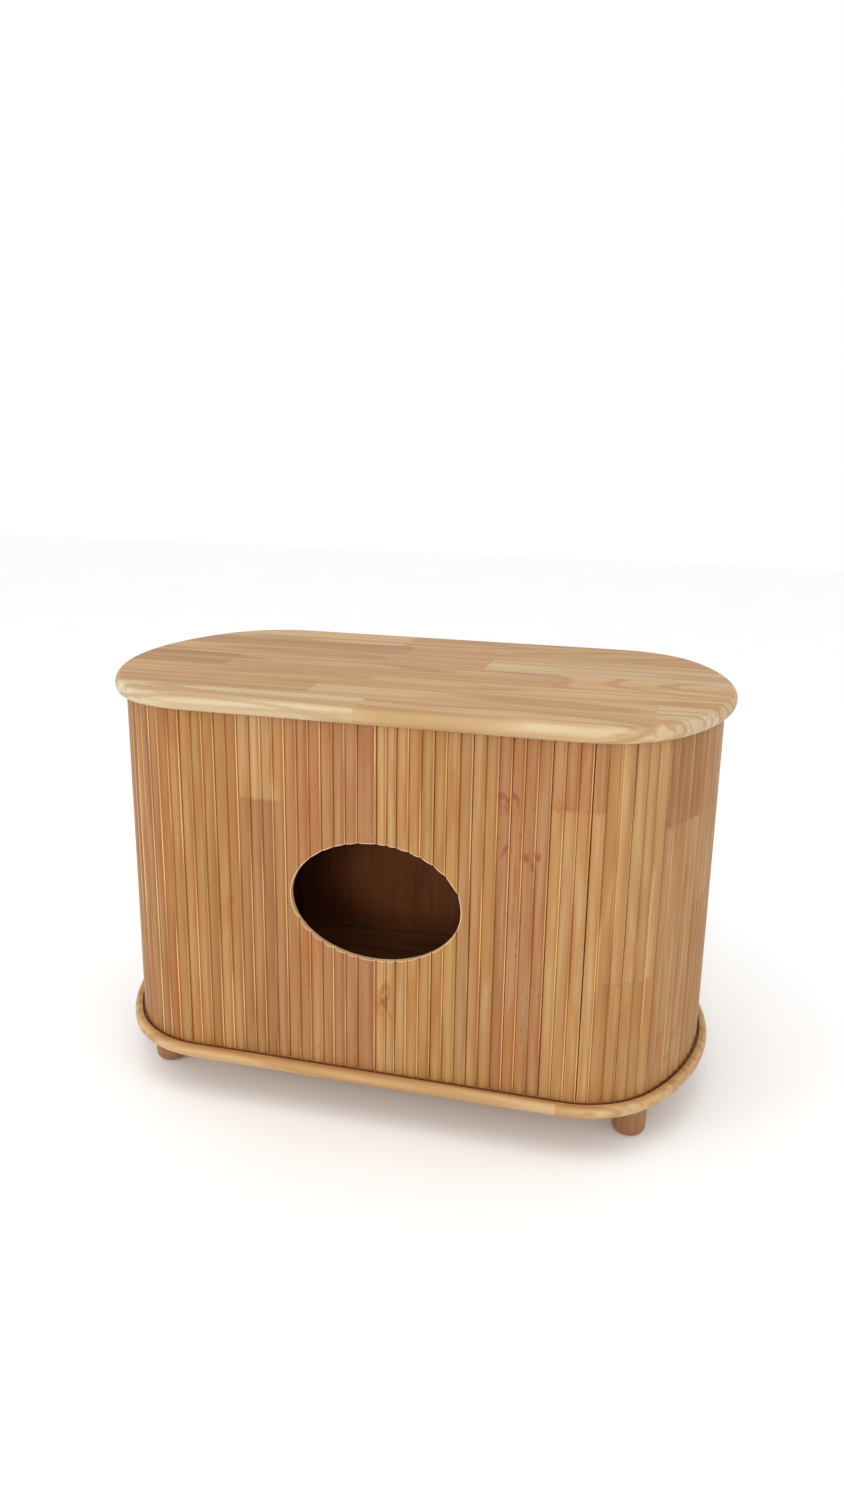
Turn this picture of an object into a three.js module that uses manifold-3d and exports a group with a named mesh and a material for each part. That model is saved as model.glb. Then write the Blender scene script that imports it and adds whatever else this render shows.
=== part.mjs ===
// Litter box cabinet with two tambour doors.
//
// A round-ended top and base are held apart by two partitions and a back board. Between them two
// flexible doors of upright slats on canvas meet at a seam in the middle of the front, where an
// oval entry hole is cut through both. Each door runs round its end of the cabinet to the back.
//
// Millimetres, +Z up, front faces -Y. The origin is on the floor, under the middle of the cabinet.

import * as THREE from 'three';
import { mergeVertices } from 'three/addons/utils/BufferGeometryUtils.js';
import Module from 'manifold-3d';

const wasm = await Module();
wasm.setup();

// ---------------------------------------------------------------- driving dimensions

// Outline of the top and of the base: straight front and back, with a shallow end arc that runs
// into a tighter corner arc at each side.
const LENGTH = 900;
const DEPTH = 518;
const CORNER_RADIUS = 150;
const END_RADIUS = 346.5;

// Heights
const FOOT_HEIGHT = 65;
const BASE_THICKNESS = 18;
const CLEAR_HEIGHT = 500;
const TOP_THICKNESS = 23;

// Rounded noses of the two panels
const TOP_NOSE_DEPTH = 10;
const BASE_NOSE_DEPTH = 8;
const NOSE_FLAT = 1;

// Doors
const TRACK_INSET = 23; // from the outline to the back of the canvas
const CANVAS_THICKNESS = 1.2;
const SLAT_THICKNESS = 6.8;
const SLAT_GAP = 1;
const SHOULDER_INSET = 0.7; // how far the flank of a slat leans in
const SHOULDER_DROP = 2.8; // how far the shoulder lies below the crown
const CROWN_EASE_INSET = 3.4;
const CROWN_EASE_DROP = 1;
const SEAM_OFFSET = 5; // the meeting seam lies this far right of the middle

// Each door has a stile of slats of their own widths at the seam, then groups of even slats that
// share out the rest of the track: small groups for the corners, larger ones round the end. It
// stops short of the straight back by its tail gap.
const LEFT_STILE_WIDTHS = [26];
const RIGHT_STILE_WIDTHS = [14, 13];
const LEFT_GROUP_COUNTS = [3, 3, 3, 3, 3, 3, 3, 3, 4, 4, 4, 4, 4, 3, 3, 2];
const RIGHT_GROUP_COUNTS = [3, 3, 3, 3, 3, 3, 3, 3, 4, 4, 4, 4, 4, 3, 3, 1];
const LEFT_TAIL_GAP = 2.5;
const RIGHT_TAIL_GAP = 8.3;

// Track groove, just outside the slats, in the base and in the underside of the top
const GROOVE_WIDTH = 5.5;
const GROOVE_DEPTH = 5;
const GROOVE_UNDERLAP = 1.5; // how far the groove reaches under the crowns

// Oval entry hole
const HOLE_WIDTH = 237;
const HOLE_HEIGHT = 168;
const HOLE_OFFSET = 3;
const HOLE_CENTRE_ABOVE_BASE = 253;

// Partitions and back board
const PARTITION_THICKNESS = 15;
const PARTITION_SETOUT = 9; // inner face beyond the end of the straight front
const DOOR_SWING = 13.5; // room that the passing slats need inside their track
const BACK_THICKNESS = 5;
const REBATE_WIDTH = 8;

// Dowels between the partitions and the two panels
const DOWEL_RADIUS = 4;
const DOWEL_END_DISTANCE = 60; // from the edge of the partition to the dowel
const DOWEL_IN_PANEL = 11;
const DOWEL_IN_PARTITION = 19;

// Feet and their bolts
const FOOT_END_INSET = 98; // from the end of the cabinet to the middle of the foot
const FOOT_SIDE_INSET = 101;
const FOOT_RADIUS = 25;
const FOOT_WAIST_RADIUS = 23.5; // where the taper meets the rounded bottom
const FOOT_ROUNDING = 10;
const BOLT_RADIUS = 4;
const BOLT_HEAD_RADIUS = 9;
const BOLT_HEAD_HEIGHT = 4;
const BOLT_RECESS = 5;
const BOLT_IN_FOOT = 38;

// Fits
const CLEARANCE = 0.3;

// Steps on the curved surfaces
const ARC_STEPS = 12;
const NOSE_STEPS = 4;
const HOLE_STEPS = 72;
const TURNED_STEPS = 20;
const DOWEL_STEPS = 12;
const ROUNDING_STEPS = 4;

// ---------------------------------------------------------------- worked-out dimensions

const BASE_TOP = FOOT_HEIGHT + BASE_THICKNESS;
const TOP_UNDERSIDE = BASE_TOP + CLEAR_HEIGHT;
const CORNER_CENTRE_Y = DEPTH / 2 - CORNER_RADIUS;
const END_CENTRE_X = LENGTH / 2 - END_RADIUS;
const FLAT_HALF = END_CENTRE_X + Math.sqrt((END_RADIUS - CORNER_RADIUS) ** 2 - CORNER_CENTRE_Y ** 2);
const END_HALF_ANGLE = Math.atan2(CORNER_CENTRE_Y, FLAT_HALF - END_CENTRE_X);
const DOOR_THICKNESS = CANVAS_THICKNESS + SLAT_THICKNESS;
const CROWN_INSET = TRACK_INSET - DOOR_THICKNESS;
const DOOR_BOTTOM = BASE_TOP + CLEARANCE;
const DOOR_HEIGHT = CLEAR_HEIGHT - 2 * CLEARANCE;

const PARTITION_INNER_X = FLAT_HALF + PARTITION_SETOUT;
const PARTITION_OUTER_X = PARTITION_INNER_X + PARTITION_THICKNESS;
const PARTITION_HALF_DEPTH = trackDepthAt(PARTITION_OUTER_X) - DOOR_SWING;
const DOWEL_Y = PARTITION_HALF_DEPTH - DOWEL_END_DISTANCE;
const DOWEL_X = (PARTITION_INNER_X + PARTITION_OUTER_X) / 2;
const DOWEL_HOLE_RADIUS = DOWEL_RADIUS + CLEARANCE;
const BOLT_HOLE_RADIUS = BOLT_RADIUS + CLEARANCE;
const FOOT_X = LENGTH / 2 - FOOT_END_INSET;
const FOOT_Y = DEPTH / 2 - FOOT_SIDE_INSET;

const BOTH_SIDES = [
  ['left', -1],
  ['right', 1],
];
const BOTH_FACES = [
  ['front', -1],
  ['rear', 1],
];

// ---------------------------------------------------------------- outline and track

/** How far the track lies from the long axis, at a place x on the corner arc. */
function trackDepthAt(x) {
  const radius = CORNER_RADIUS - TRACK_INSET;
  return CORNER_CENTRE_Y + Math.sqrt(radius ** 2 - (x - FLAT_HALF) ** 2);
}

/** Points along an arc, without its last point. */
function arcPoints(x, y, radius, start, end) {
  return Array.from({ length: ARC_STEPS }, (_, step) => {
    const angle = start + ((end - start) * step) / ARC_STEPS;
    return new THREE.Vector2(x + radius * Math.cos(angle), y + radius * Math.sin(angle));
  });
}

/** The cabinet's outline, moved inwards by an even inset. */
function outlineShape(inset) {
  const corner = CORNER_RADIUS - inset;
  const end = END_RADIUS - inset;
  const quarter = Math.PI / 2;
  const rightHalf = [
    ...arcPoints(FLAT_HALF, -CORNER_CENTRE_Y, corner, -quarter, -END_HALF_ANGLE),
    ...arcPoints(END_CENTRE_X, 0, end, -END_HALF_ANGLE, END_HALF_ANGLE),
    ...arcPoints(FLAT_HALF, CORNER_CENTRE_Y, corner, END_HALF_ANGLE, quarter),
    new THREE.Vector2(FLAT_HALF, DEPTH / 2 - inset),
  ];
  const leftHalf = rightHalf.map((point) => point.clone().negate());
  return new THREE.Shape([...rightHalf, ...leftHalf]);
}

/**
 * The right-hand door's track: where the back of the canvas is after a run along it, and which way
 * it heads there. The run starts at startX on the front and turns left round the end.
 */
function trackPlace(run, startX) {
  const corner = CORNER_RADIUS - TRACK_INSET;
  const end = END_RADIUS - TRACK_INSET;
  const cornerRun = corner * (Math.PI / 2 - END_HALF_ANGLE);
  const endRun = end * 2 * END_HALF_ANGLE;
  const onArc = (x, y, radius, angle) => ({
    x: x + radius * Math.cos(angle),
    y: y + radius * Math.sin(angle),
    heading: angle + Math.PI / 2,
  });

  let rest = run - (FLAT_HALF - startX);
  if (rest <= 0) return { x: FLAT_HALF + rest, y: TRACK_INSET - DEPTH / 2, heading: 0 };
  if (rest <= cornerRun) {
    return onArc(FLAT_HALF, -CORNER_CENTRE_Y, corner, rest / corner - Math.PI / 2);
  }
  rest -= cornerRun;
  if (rest <= endRun) return onArc(END_CENTRE_X, 0, end, rest / end - END_HALF_ANGLE);
  rest -= endRun;
  if (rest <= cornerRun) {
    return onArc(FLAT_HALF, CORNER_CENTRE_Y, corner, rest / corner + END_HALF_ANGLE);
  }
  rest -= cornerRun;
  return { x: FLAT_HALF - rest, y: DEPTH / 2 - TRACK_INSET, heading: Math.PI };
}

/** How long the track is, from startX on the front to the straight back. */
function trackLength(startX) {
  const cornerRun = (CORNER_RADIUS - TRACK_INSET) * (Math.PI / 2 - END_HALF_ANGLE);
  const endRun = (END_RADIUS - TRACK_INSET) * 2 * END_HALF_ANGLE;
  return FLAT_HALF - startX + 2 * cornerRun + endRun;
}

// ---------------------------------------------------------------- solids

/** Total of a list of numbers. */
const sum = (numbers) => numbers.reduce((total, number) => total + number, 0);

/** A closed geometry as a solid that can be cut. */
function solidOf(geometry) {
  const bare = geometry.clone();
  bare.deleteAttribute('normal');
  bare.deleteAttribute('uv');
  const merged = mergeVertices(bare);
  const mesh = new wasm.Mesh({
    numProp: 3,
    vertProperties: new Float32Array(merged.attributes.position.array),
    triVerts: new Uint32Array(merged.index.array),
  });
  return new wasm.Manifold(mesh);
}

/** A cut solid as a geometry again. */
function geometryOf(solid) {
  const mesh = solid.getMesh();
  const geometry = new THREE.BufferGeometry();
  geometry.setAttribute('position', new THREE.BufferAttribute(mesh.vertProperties, 3));
  geometry.setIndex(new THREE.BufferAttribute(mesh.triVerts, 1));
  geometry.computeVertexNormals();
  return geometry;
}

function cut(geometry, cutters) {
  const solid = cutters.reduce((whole, cutter) => whole.subtract(solidOf(cutter)), solidOf(geometry));
  return geometryOf(solid);
}

/** An upright prism on a flat shape. */
function prism(shape, bottom, height) {
  const geometry = new THREE.ExtrudeGeometry(shape, { depth: height, bevelEnabled: false });
  return geometry.translate(0, 0, bottom);
}

function box(width, depth, height, x, y, bottom) {
  return new THREE.BoxGeometry(width, depth, height).translate(x, y, bottom + height / 2);
}

/** An upright peg, or the cutter for its hole. */
function peg(radius, height, x, y, bottom, steps) {
  const geometry = new THREE.CylinderGeometry(radius, radius, height, steps);
  return geometry.rotateX(Math.PI / 2).translate(x, y, bottom + height / 2);
}

/** A turned piece from a profile of [radius, height] pairs that starts and ends on the axis. */
function turned(profile) {
  const points = profile.map(([radius, height]) => new THREE.Vector2(radius, height));
  return new THREE.LatheGeometry(points, TURNED_STEPS).rotateX(Math.PI / 2);
}

// ---------------------------------------------------------------- top and base

/** A round-ended panel whose whole edge is a rounded nose. */
function nosedPanel(thickness, noseDepth, bottom) {
  const noseHeight = (thickness - NOSE_FLAT) / 2;
  const geometry = new THREE.ExtrudeGeometry(outlineShape(noseDepth), {
    depth: NOSE_FLAT,
    bevelThickness: noseHeight,
    bevelSize: noseDepth,
    bevelSegments: NOSE_STEPS,
  });
  return geometry.translate(0, 0, bottom + noseHeight);
}

/** Cutter for the track groove, between two depths. */
function grooveRing(bottom, height) {
  const innerInset = CROWN_INSET + GROOVE_UNDERLAP;
  const shape = outlineShape(innerInset - GROOVE_WIDTH);
  shape.holes.push(new THREE.Path(outlineShape(innerInset).getPoints()));
  return prism(shape, bottom, height);
}

/** Cutters for the four dowel holes, from bottom up to a height. */
function dowelHoles(bottom, height) {
  return BOTH_SIDES.flatMap(([, side]) =>
    BOTH_FACES.map(([, face]) =>
      peg(DOWEL_HOLE_RADIUS, height, side * DOWEL_X, face * DOWEL_Y, bottom, DOWEL_STEPS),
    ),
  );
}

/** Cutters for the four foot bolts and for their recessed heads. */
function boltHoles() {
  return BOTH_SIDES.flatMap(([, side]) =>
    BOTH_FACES.flatMap(([, face]) => {
      const [x, y] = [side * FOOT_X, face * FOOT_Y];
      const headRadius = BOLT_HEAD_RADIUS + CLEARANCE;
      return [
        peg(BOLT_HOLE_RADIUS, BASE_THICKNESS * 2, x, y, FOOT_HEIGHT - BASE_THICKNESS / 2, TURNED_STEPS),
        peg(headRadius, BOLT_RECESS * 2, x, y, BASE_TOP - BOLT_RECESS, TURNED_STEPS),
      ];
    }),
  );
}

function topPanel() {
  const overshoot = 1;
  return cut(nosedPanel(TOP_THICKNESS, TOP_NOSE_DEPTH, TOP_UNDERSIDE), [
    grooveRing(TOP_UNDERSIDE - overshoot, GROOVE_DEPTH + overshoot),
    ...dowelHoles(TOP_UNDERSIDE - overshoot, DOWEL_IN_PANEL + CLEARANCE + overshoot),
  ]);
}

function basePanel() {
  const overshoot = 1;
  const dowelDepth = DOWEL_IN_PANEL + CLEARANCE;
  return cut(nosedPanel(BASE_THICKNESS, BASE_NOSE_DEPTH, FOOT_HEIGHT), [
    grooveRing(BASE_TOP - GROOVE_DEPTH, GROOVE_DEPTH + overshoot),
    ...dowelHoles(BASE_TOP - dowelDepth, dowelDepth + overshoot),
    ...boltHoles(),
  ]);
}

// ---------------------------------------------------------------- partitions, back board, dowels

/** A partition, with a rebate for the back board and a hole for each dowel. */
function partition(side) {
  const overshoot = 1;
  const holeDepth = DOWEL_IN_PARTITION + CLEARANCE;
  const depth = 2 * PARTITION_HALF_DEPTH;
  const board = box(PARTITION_THICKNESS, depth, DOOR_HEIGHT, side * DOWEL_X, 0, DOOR_BOTTOM);
  const rebateDepth = BACK_THICKNESS + CLEARANCE;
  const rebate = box(
    REBATE_WIDTH + overshoot,
    rebateDepth + overshoot,
    DOOR_HEIGHT + 2 * overshoot,
    side * (PARTITION_INNER_X + (REBATE_WIDTH - overshoot) / 2),
    PARTITION_HALF_DEPTH - (rebateDepth - overshoot) / 2,
    DOOR_BOTTOM - overshoot,
  );
  const holes = BOTH_FACES.flatMap(([, face]) =>
    [DOOR_BOTTOM - overshoot, DOOR_BOTTOM + DOOR_HEIGHT - holeDepth].map((bottom) =>
      peg(DOWEL_HOLE_RADIUS, holeDepth + overshoot, side * DOWEL_X, face * DOWEL_Y, bottom, DOWEL_STEPS),
    ),
  );
  return cut(board, [rebate, ...holes]);
}

function backBoard() {
  const width = 2 * (PARTITION_INNER_X + REBATE_WIDTH - CLEARANCE);
  const middle = PARTITION_HALF_DEPTH - BACK_THICKNESS / 2;
  return box(width, BACK_THICKNESS, DOOR_HEIGHT, 0, middle, DOOR_BOTTOM);
}

/** A dowel across the joint at the bottom (level 'lower') or at the top (level 'upper'). */
function dowel(side, face, level) {
  const height = DOWEL_IN_PANEL + DOWEL_IN_PARTITION;
  const bottom = level === 'lower' ? BASE_TOP - DOWEL_IN_PANEL : TOP_UNDERSIDE - DOWEL_IN_PARTITION;
  return peg(DOWEL_RADIUS, height, side * DOWEL_X, face * DOWEL_Y, bottom, DOWEL_STEPS);
}

// ---------------------------------------------------------------- feet

/** A turned foot: rounded bottom, slight taper, and a blind hole for its bolt. */
function foot() {
  const rounding = Array.from({ length: ROUNDING_STEPS + 1 }, (_, step) => {
    const angle = (Math.PI / 2) * (step / ROUNDING_STEPS);
    return [
      FOOT_WAIST_RADIUS - FOOT_ROUNDING * (1 - Math.sin(angle)),
      FOOT_ROUNDING * (1 - Math.cos(angle)),
    ];
  });
  const top = FOOT_HEIGHT - CLEARANCE;
  const holeBottom = FOOT_HEIGHT - BOLT_IN_FOOT - CLEARANCE;
  return turned([
    [0, 0],
    ...rounding,
    [FOOT_RADIUS, top],
    [BOLT_HOLE_RADIUS, top],
    [BOLT_HOLE_RADIUS, holeBottom],
    [0, holeBottom],
  ]);
}

/** The bolt that holds a foot, with its head in the recess of the base. */
function footBolt() {
  const underHead = BASE_TOP - BOLT_RECESS + CLEARANCE;
  return turned([
    [0, FOOT_HEIGHT - BOLT_IN_FOOT],
    [BOLT_RADIUS, FOOT_HEIGHT - BOLT_IN_FOOT],
    [BOLT_RADIUS, underHead],
    [BOLT_HEAD_RADIUS, underHead],
    [BOLT_HEAD_RADIUS, underHead + BOLT_HEAD_HEIGHT],
    [0, underHead + BOLT_HEAD_HEIGHT],
  ]);
}

// ---------------------------------------------------------------- doors

/** Half of a slat's outer face, from its foot on the canvas to its crown, as [along, out] pairs. */
function slatFlank(width) {
  return [
    [width / 2, CANVAS_THICKNESS],
    [width / 2 - SHOULDER_INSET, DOOR_THICKNESS - SHOULDER_DROP],
    [width / 2 - CROWN_EASE_INSET, DOOR_THICKNESS - CROWN_EASE_DROP],
  ];
}

/**
 * Plan of slats side by side on one strip of canvas. Each width is one slat with its gap, and the
 * first starts after a run along the track.
 */
function slatGroupShape(widths, startRun, startX, side) {
  const outer = [];
  const inner = [];
  let run = startRun;
  for (const pitch of widths) {
    const place = trackPlace(run + pitch / 2, startX);
    const [cos, sin] = [Math.cos(place.heading), Math.sin(place.heading)];
    const at = ([along, out]) =>
      new THREE.Vector2(side * (place.x + along * cos + out * sin), place.y + along * sin - out * cos);
    const width = pitch - SLAT_GAP;
    const flank = slatFlank(width);
    const mirrored = flank.map(([along, out]) => [-along, out]);
    outer.push(...mirrored.map(at), at([0, DOOR_THICKNESS]), ...flank.reverse().map(at));
    inner.push(at([-width / 2, 0]), at([width / 2, 0]));
    run += pitch;
  }
  return new THREE.Shape([...outer, ...inner.reverse()]);
}

/** Cutter for the oval entry hole, through the front from just behind the track. */
function holeCutter() {
  const shape = new THREE.Shape();
  shape.absellipse(0, 0, HOLE_WIDTH / 2, HOLE_HEIGHT / 2, 0, 2 * Math.PI);
  const depth = TRACK_INSET * 2;
  const geometry = new THREE.ExtrudeGeometry(shape, {
    depth,
    bevelEnabled: false,
    curveSegments: HOLE_STEPS,
  });
  geometry.rotateX(Math.PI / 2);
  return geometry.translate(HOLE_OFFSET, TRACK_INSET * 1.5 - DEPTH / 2, BASE_TOP + HOLE_CENTRE_ABOVE_BASE);
}

/** The pieces left of a slat group once the hole is cut: one, or an upper and a lower one. */
function piecesRoundHole(shape) {
  const solid = solidOf(prism(shape, DOOR_BOTTOM, DOOR_HEIGHT)).subtract(solidOf(holeCutter()));
  const heightOf = (piece) => piece.boundingBox().min[2];
  const pieces = solid.decompose().sort((a, b) => heightOf(a) - heightOf(b));
  return pieces.map(geometryOf);
}

/** The slats of a door as groups that each move as one: first the stile, then the rest. */
function doorGroups(side) {
  const stileWidths = side < 0 ? LEFT_STILE_WIDTHS : RIGHT_STILE_WIDTHS;
  const counts = side < 0 ? LEFT_GROUP_COUNTS : RIGHT_GROUP_COUNTS;
  const tailGap = side < 0 ? LEFT_TAIL_GAP : RIGHT_TAIL_GAP;
  const startX = side * SEAM_OFFSET;
  const stileRun = sum(stileWidths);
  const pitch = (trackLength(startX) - tailGap - stileRun) / sum(counts);

  const groups = [{ part: 'stile', shape: slatGroupShape(stileWidths, 0, startX, side) }];
  let run = stileRun;
  for (const count of counts) {
    const part = `slats_${String(groups.length).padStart(2, '0')}`;
    groups.push({ part, shape: slatGroupShape(Array(count).fill(pitch), run, startX, side) });
    run += count * pitch;
  }
  return groups;
}

// ---------------------------------------------------------------- assembly

function material(color, roughness, metalness = 0) {
  return new THREE.MeshStandardMaterial({ color, roughness, metalness });
}

const topWood = () => material(0xdcb27c, 0.45);
const baseWood = () => material(0xd2a168, 0.45);
const slatWood = () => material(0xc68f57, 0.5);
const footWood = () => material(0xb97a42, 0.45);
const innerWood = () => material(0x9c6238, 0.65);
const dowelWood = () => material(0xd9bd8d, 0.7);
const steel = () => material(0xb8b8b6, 0.35, 1);

function addPiece(parent, name, geometry, finish) {
  const mesh = new THREE.Mesh(geometry, finish);
  mesh.name = name;
  parent.add(mesh);
  return mesh;
}

function carcass() {
  const group = new THREE.Group();
  addPiece(group, 'top_panel', topPanel(), topWood());
  addPiece(group, 'base_panel', basePanel(), baseWood());
  addPiece(group, 'back_board', backBoard(), innerWood());
  for (const [sideName, side] of BOTH_SIDES) {
    addPiece(group, `${sideName}_partition`, partition(side), innerWood());
    for (const [faceName, face] of BOTH_FACES) {
      for (const level of ['lower', 'upper']) {
        addPiece(group, `dowel_${faceName}_${sideName}_${level}`, dowel(side, face, level), dowelWood());
      }
    }
  }
  return group;
}

function feet() {
  const group = new THREE.Group();
  for (const [sideName, side] of BOTH_SIDES) {
    for (const [faceName, face] of BOTH_FACES) {
      const corner = new THREE.Group();
      corner.position.set(side * FOOT_X, face * FOOT_Y, 0);
      addPiece(corner, `foot_${faceName}_${sideName}`, foot(), footWood());
      addPiece(corner, `foot_bolt_${faceName}_${sideName}`, footBolt(), steel());
      group.add(corner);
    }
  }
  return group;
}

function door(sideName, side) {
  const group = new THREE.Group();
  for (const { part, shape } of doorGroups(side)) {
    const pieces = piecesRoundHole(shape);
    const endings = pieces.length === 1 ? [''] : ['_lower', '_upper'];
    pieces.forEach((geometry, index) => {
      addPiece(group, `${sideName}_${part}${endings[index]}`, geometry, slatWood());
    });
  }
  return group;
}

const cabinet = new THREE.Group();
cabinet.add(carcass(), feet());
for (const [sideName, side] of BOTH_SIDES) cabinet.add(door(sideName, side));

export default cabinet;
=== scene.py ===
"""Looks of a round-ended litter box cabinet with two tambour doors.

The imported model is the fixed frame. This script gives every part of it a wood, canvas or steel
finish, and replaces the parts whose curves need more points than the solids have: the two
bullnosed panels, the fluted slats, the turned feet and their bolts. Sizes are in millimetres, and
become metres when a mesh is made.
"""

import logging
import math
from collections.abc import Callable, Iterable, Sequence
from dataclasses import dataclass, field
from enum import Enum

import bmesh
import bpy
from mathutils import Matrix, Vector


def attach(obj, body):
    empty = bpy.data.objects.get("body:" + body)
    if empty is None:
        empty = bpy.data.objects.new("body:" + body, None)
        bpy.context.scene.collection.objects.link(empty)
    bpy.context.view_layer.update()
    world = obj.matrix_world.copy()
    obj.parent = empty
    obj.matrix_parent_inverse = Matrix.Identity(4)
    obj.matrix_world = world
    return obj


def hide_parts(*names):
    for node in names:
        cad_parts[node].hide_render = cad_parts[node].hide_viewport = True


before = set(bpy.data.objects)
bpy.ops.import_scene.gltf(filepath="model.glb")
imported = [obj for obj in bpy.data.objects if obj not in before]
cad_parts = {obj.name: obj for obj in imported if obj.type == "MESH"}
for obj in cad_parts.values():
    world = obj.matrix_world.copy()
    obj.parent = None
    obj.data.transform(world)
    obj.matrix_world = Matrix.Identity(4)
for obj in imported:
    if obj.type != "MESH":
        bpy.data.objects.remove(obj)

MM = 0.001
log = logging.getLogger("cabinet")

Pair = tuple[float, float]
Colour = tuple[float, float, float]

BOLT_HOLE_RADIUS = 4.3
FOOT_PLACES: dict[str, Pair] = {
    "front_left": (-352.0, -158.0),
    "front_right": (352.0, -158.0),
    "rear_left": (-352.0, 158.0),
    "rear_right": (352.0, 158.0),
}


# ------------------------------------------------------------------------------- colours


def linear(red: int, green: int, blue: int) -> Colour:
    """Turns a screen colour into the linear light that shaders use.

    Args:
        red: Red, 0 to 255.
        green: Green, 0 to 255.
        blue: Blue, 0 to 255.

    Returns:
        The same colour as three linear numbers.
    """

    def channel(value: int) -> float:
        """Turns one part of a screen colour into linear light.

        Args:
            value: The part, 0 to 255.

        Returns:
            Its linear value.
        """
        share = value / 255
        return share / 12.92 if share <= 0.04045 else ((share + 0.055) / 1.055) ** 2.4

    return channel(red), channel(green), channel(blue)


def grey(value: float) -> Colour:
    """Gives the grey that carries one number through a colour."""
    return (value, value, value)


class Tone(Enum):
    """Named colours of the timber, from which boards are picked."""

    OAT = linear(187, 160, 121)
    WHEAT = linear(184, 149, 103)
    BISCUIT = linear(178, 142, 97)
    TOFFEE = linear(167, 127, 84)
    CARAMEL = linear(184, 142, 92)
    NUTMEG = linear(178, 134, 84)
    STRAW = linear(171, 131, 81)
    SAND = linear(164, 123, 74)
    HONEY = linear(163, 120, 65)
    AMBER = linear(157, 104, 46)
    TAN = linear(153, 109, 60)
    BLUSH = linear(162, 114, 66)
    ROSE = linear(158, 109, 65)
    RUSSET = linear(160, 114, 70)


# ------------------------------------------------------------------------------- plan outline


@dataclass(frozen=True)
class Place:
    """A point on the door track, and the way that the track heads there."""

    x: float
    y: float
    heading: float


@dataclass(frozen=True)
class Outline:
    """Plan of the cabinet: straight front and back, corner arcs, and a shallow arc at each end."""

    length: float = 900.0
    depth: float = 518.0
    corner_radius: float = 150.0
    end_radius: float = 346.5
    arc_steps: int = 28

    @property
    def corner_centre_y(self) -> float:
        """Distance of the corner arcs' centres from the long axis."""
        return self.depth / 2 - self.corner_radius

    @property
    def end_centre_x(self) -> float:
        """Distance of the end arcs' centres from the middle."""
        return self.length / 2 - self.end_radius

    @property
    def flat_half(self) -> float:
        """Half the length of the straight front."""
        reach = self.end_radius - self.corner_radius
        return self.end_centre_x + math.sqrt(reach**2 - self.corner_centre_y**2)

    @property
    def end_half_angle(self) -> float:
        """Half the angle that an end arc turns through."""
        return math.atan2(self.corner_centre_y, self.flat_half - self.end_centre_x)

    def ring(self, inset: float) -> list[Pair]:
        """Walks the outline anticlockwise, moved inwards by an even inset.

        Args:
            inset: Distance inside the outline.

        Returns:
            Plan points, the same number for every inset.
        """
        corner, end, quarter = self.corner_radius - inset, self.end_radius - inset, math.pi / 2
        arcs = (
            (self.flat_half, -self.corner_centre_y, corner, -quarter, -self.end_half_angle),
            (self.end_centre_x, 0.0, end, -self.end_half_angle, self.end_half_angle),
            (self.flat_half, self.corner_centre_y, corner, self.end_half_angle, quarter),
        )
        half: list[Pair] = []
        for x, y, radius, start, stop in arcs:
            for step in range(self.arc_steps):
                angle = start + (stop - start) * step / self.arc_steps
                half.append((x + radius * math.cos(angle), y + radius * math.sin(angle)))
        half.append((self.flat_half, self.depth / 2 - inset))
        return half + [(-x, -y) for x, y in half]

    def track(self, run: float, start_x: float, inset: float) -> Place:
        """Follows the right-hand door's track from the front round the end.

        Args:
            run: Distance along the track.
            start_x: Where on the front the track starts.
            inset: Distance of the track inside the outline.

        Returns:
            The place at that run.
        """
        corner, end = self.corner_radius - inset, self.end_radius - inset
        corner_run = corner * (math.pi / 2 - self.end_half_angle)
        end_run = end * 2 * self.end_half_angle

        def on_arc(x: float, y: float, radius: float, angle: float) -> Place:
            """Finds a place on an arc.

            Args:
                x: Centre of the arc.
                y: Centre of the arc.
                radius: Radius of the arc.
                angle: How far round it the place lies.

            Returns:
                The place.
            """
            return Place(
                x + radius * math.cos(angle), y + radius * math.sin(angle), angle + math.pi / 2
            )

        rest = run - (self.flat_half - start_x)
        if rest <= 0:
            return Place(self.flat_half + rest, inset - self.depth / 2, 0.0)
        if rest <= corner_run:
            angle = rest / corner - math.pi / 2
            return on_arc(self.flat_half, -self.corner_centre_y, corner, angle)
        rest -= corner_run
        if rest <= end_run:
            return on_arc(self.end_centre_x, 0.0, end, rest / end - self.end_half_angle)
        rest -= end_run
        if rest <= corner_run:
            angle = rest / corner + self.end_half_angle
            return on_arc(self.flat_half, self.corner_centre_y, corner, angle)
        rest -= corner_run
        return Place(self.flat_half - rest, self.depth / 2 - inset, math.pi)

    def track_length(self, start_x: float, inset: float) -> float:
        """Length of the track from the front to the straight back.

        Args:
            start_x: Where on the front the track starts.
            inset: Distance of the track inside the outline.

        Returns:
            The length.
        """
        corner_run = (self.corner_radius - inset) * (math.pi / 2 - self.end_half_angle)
        end_run = (self.end_radius - inset) * 2 * self.end_half_angle
        return self.flat_half - start_x + 2 * corner_run + end_run


# ------------------------------------------------------------------------------- mesh work


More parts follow.
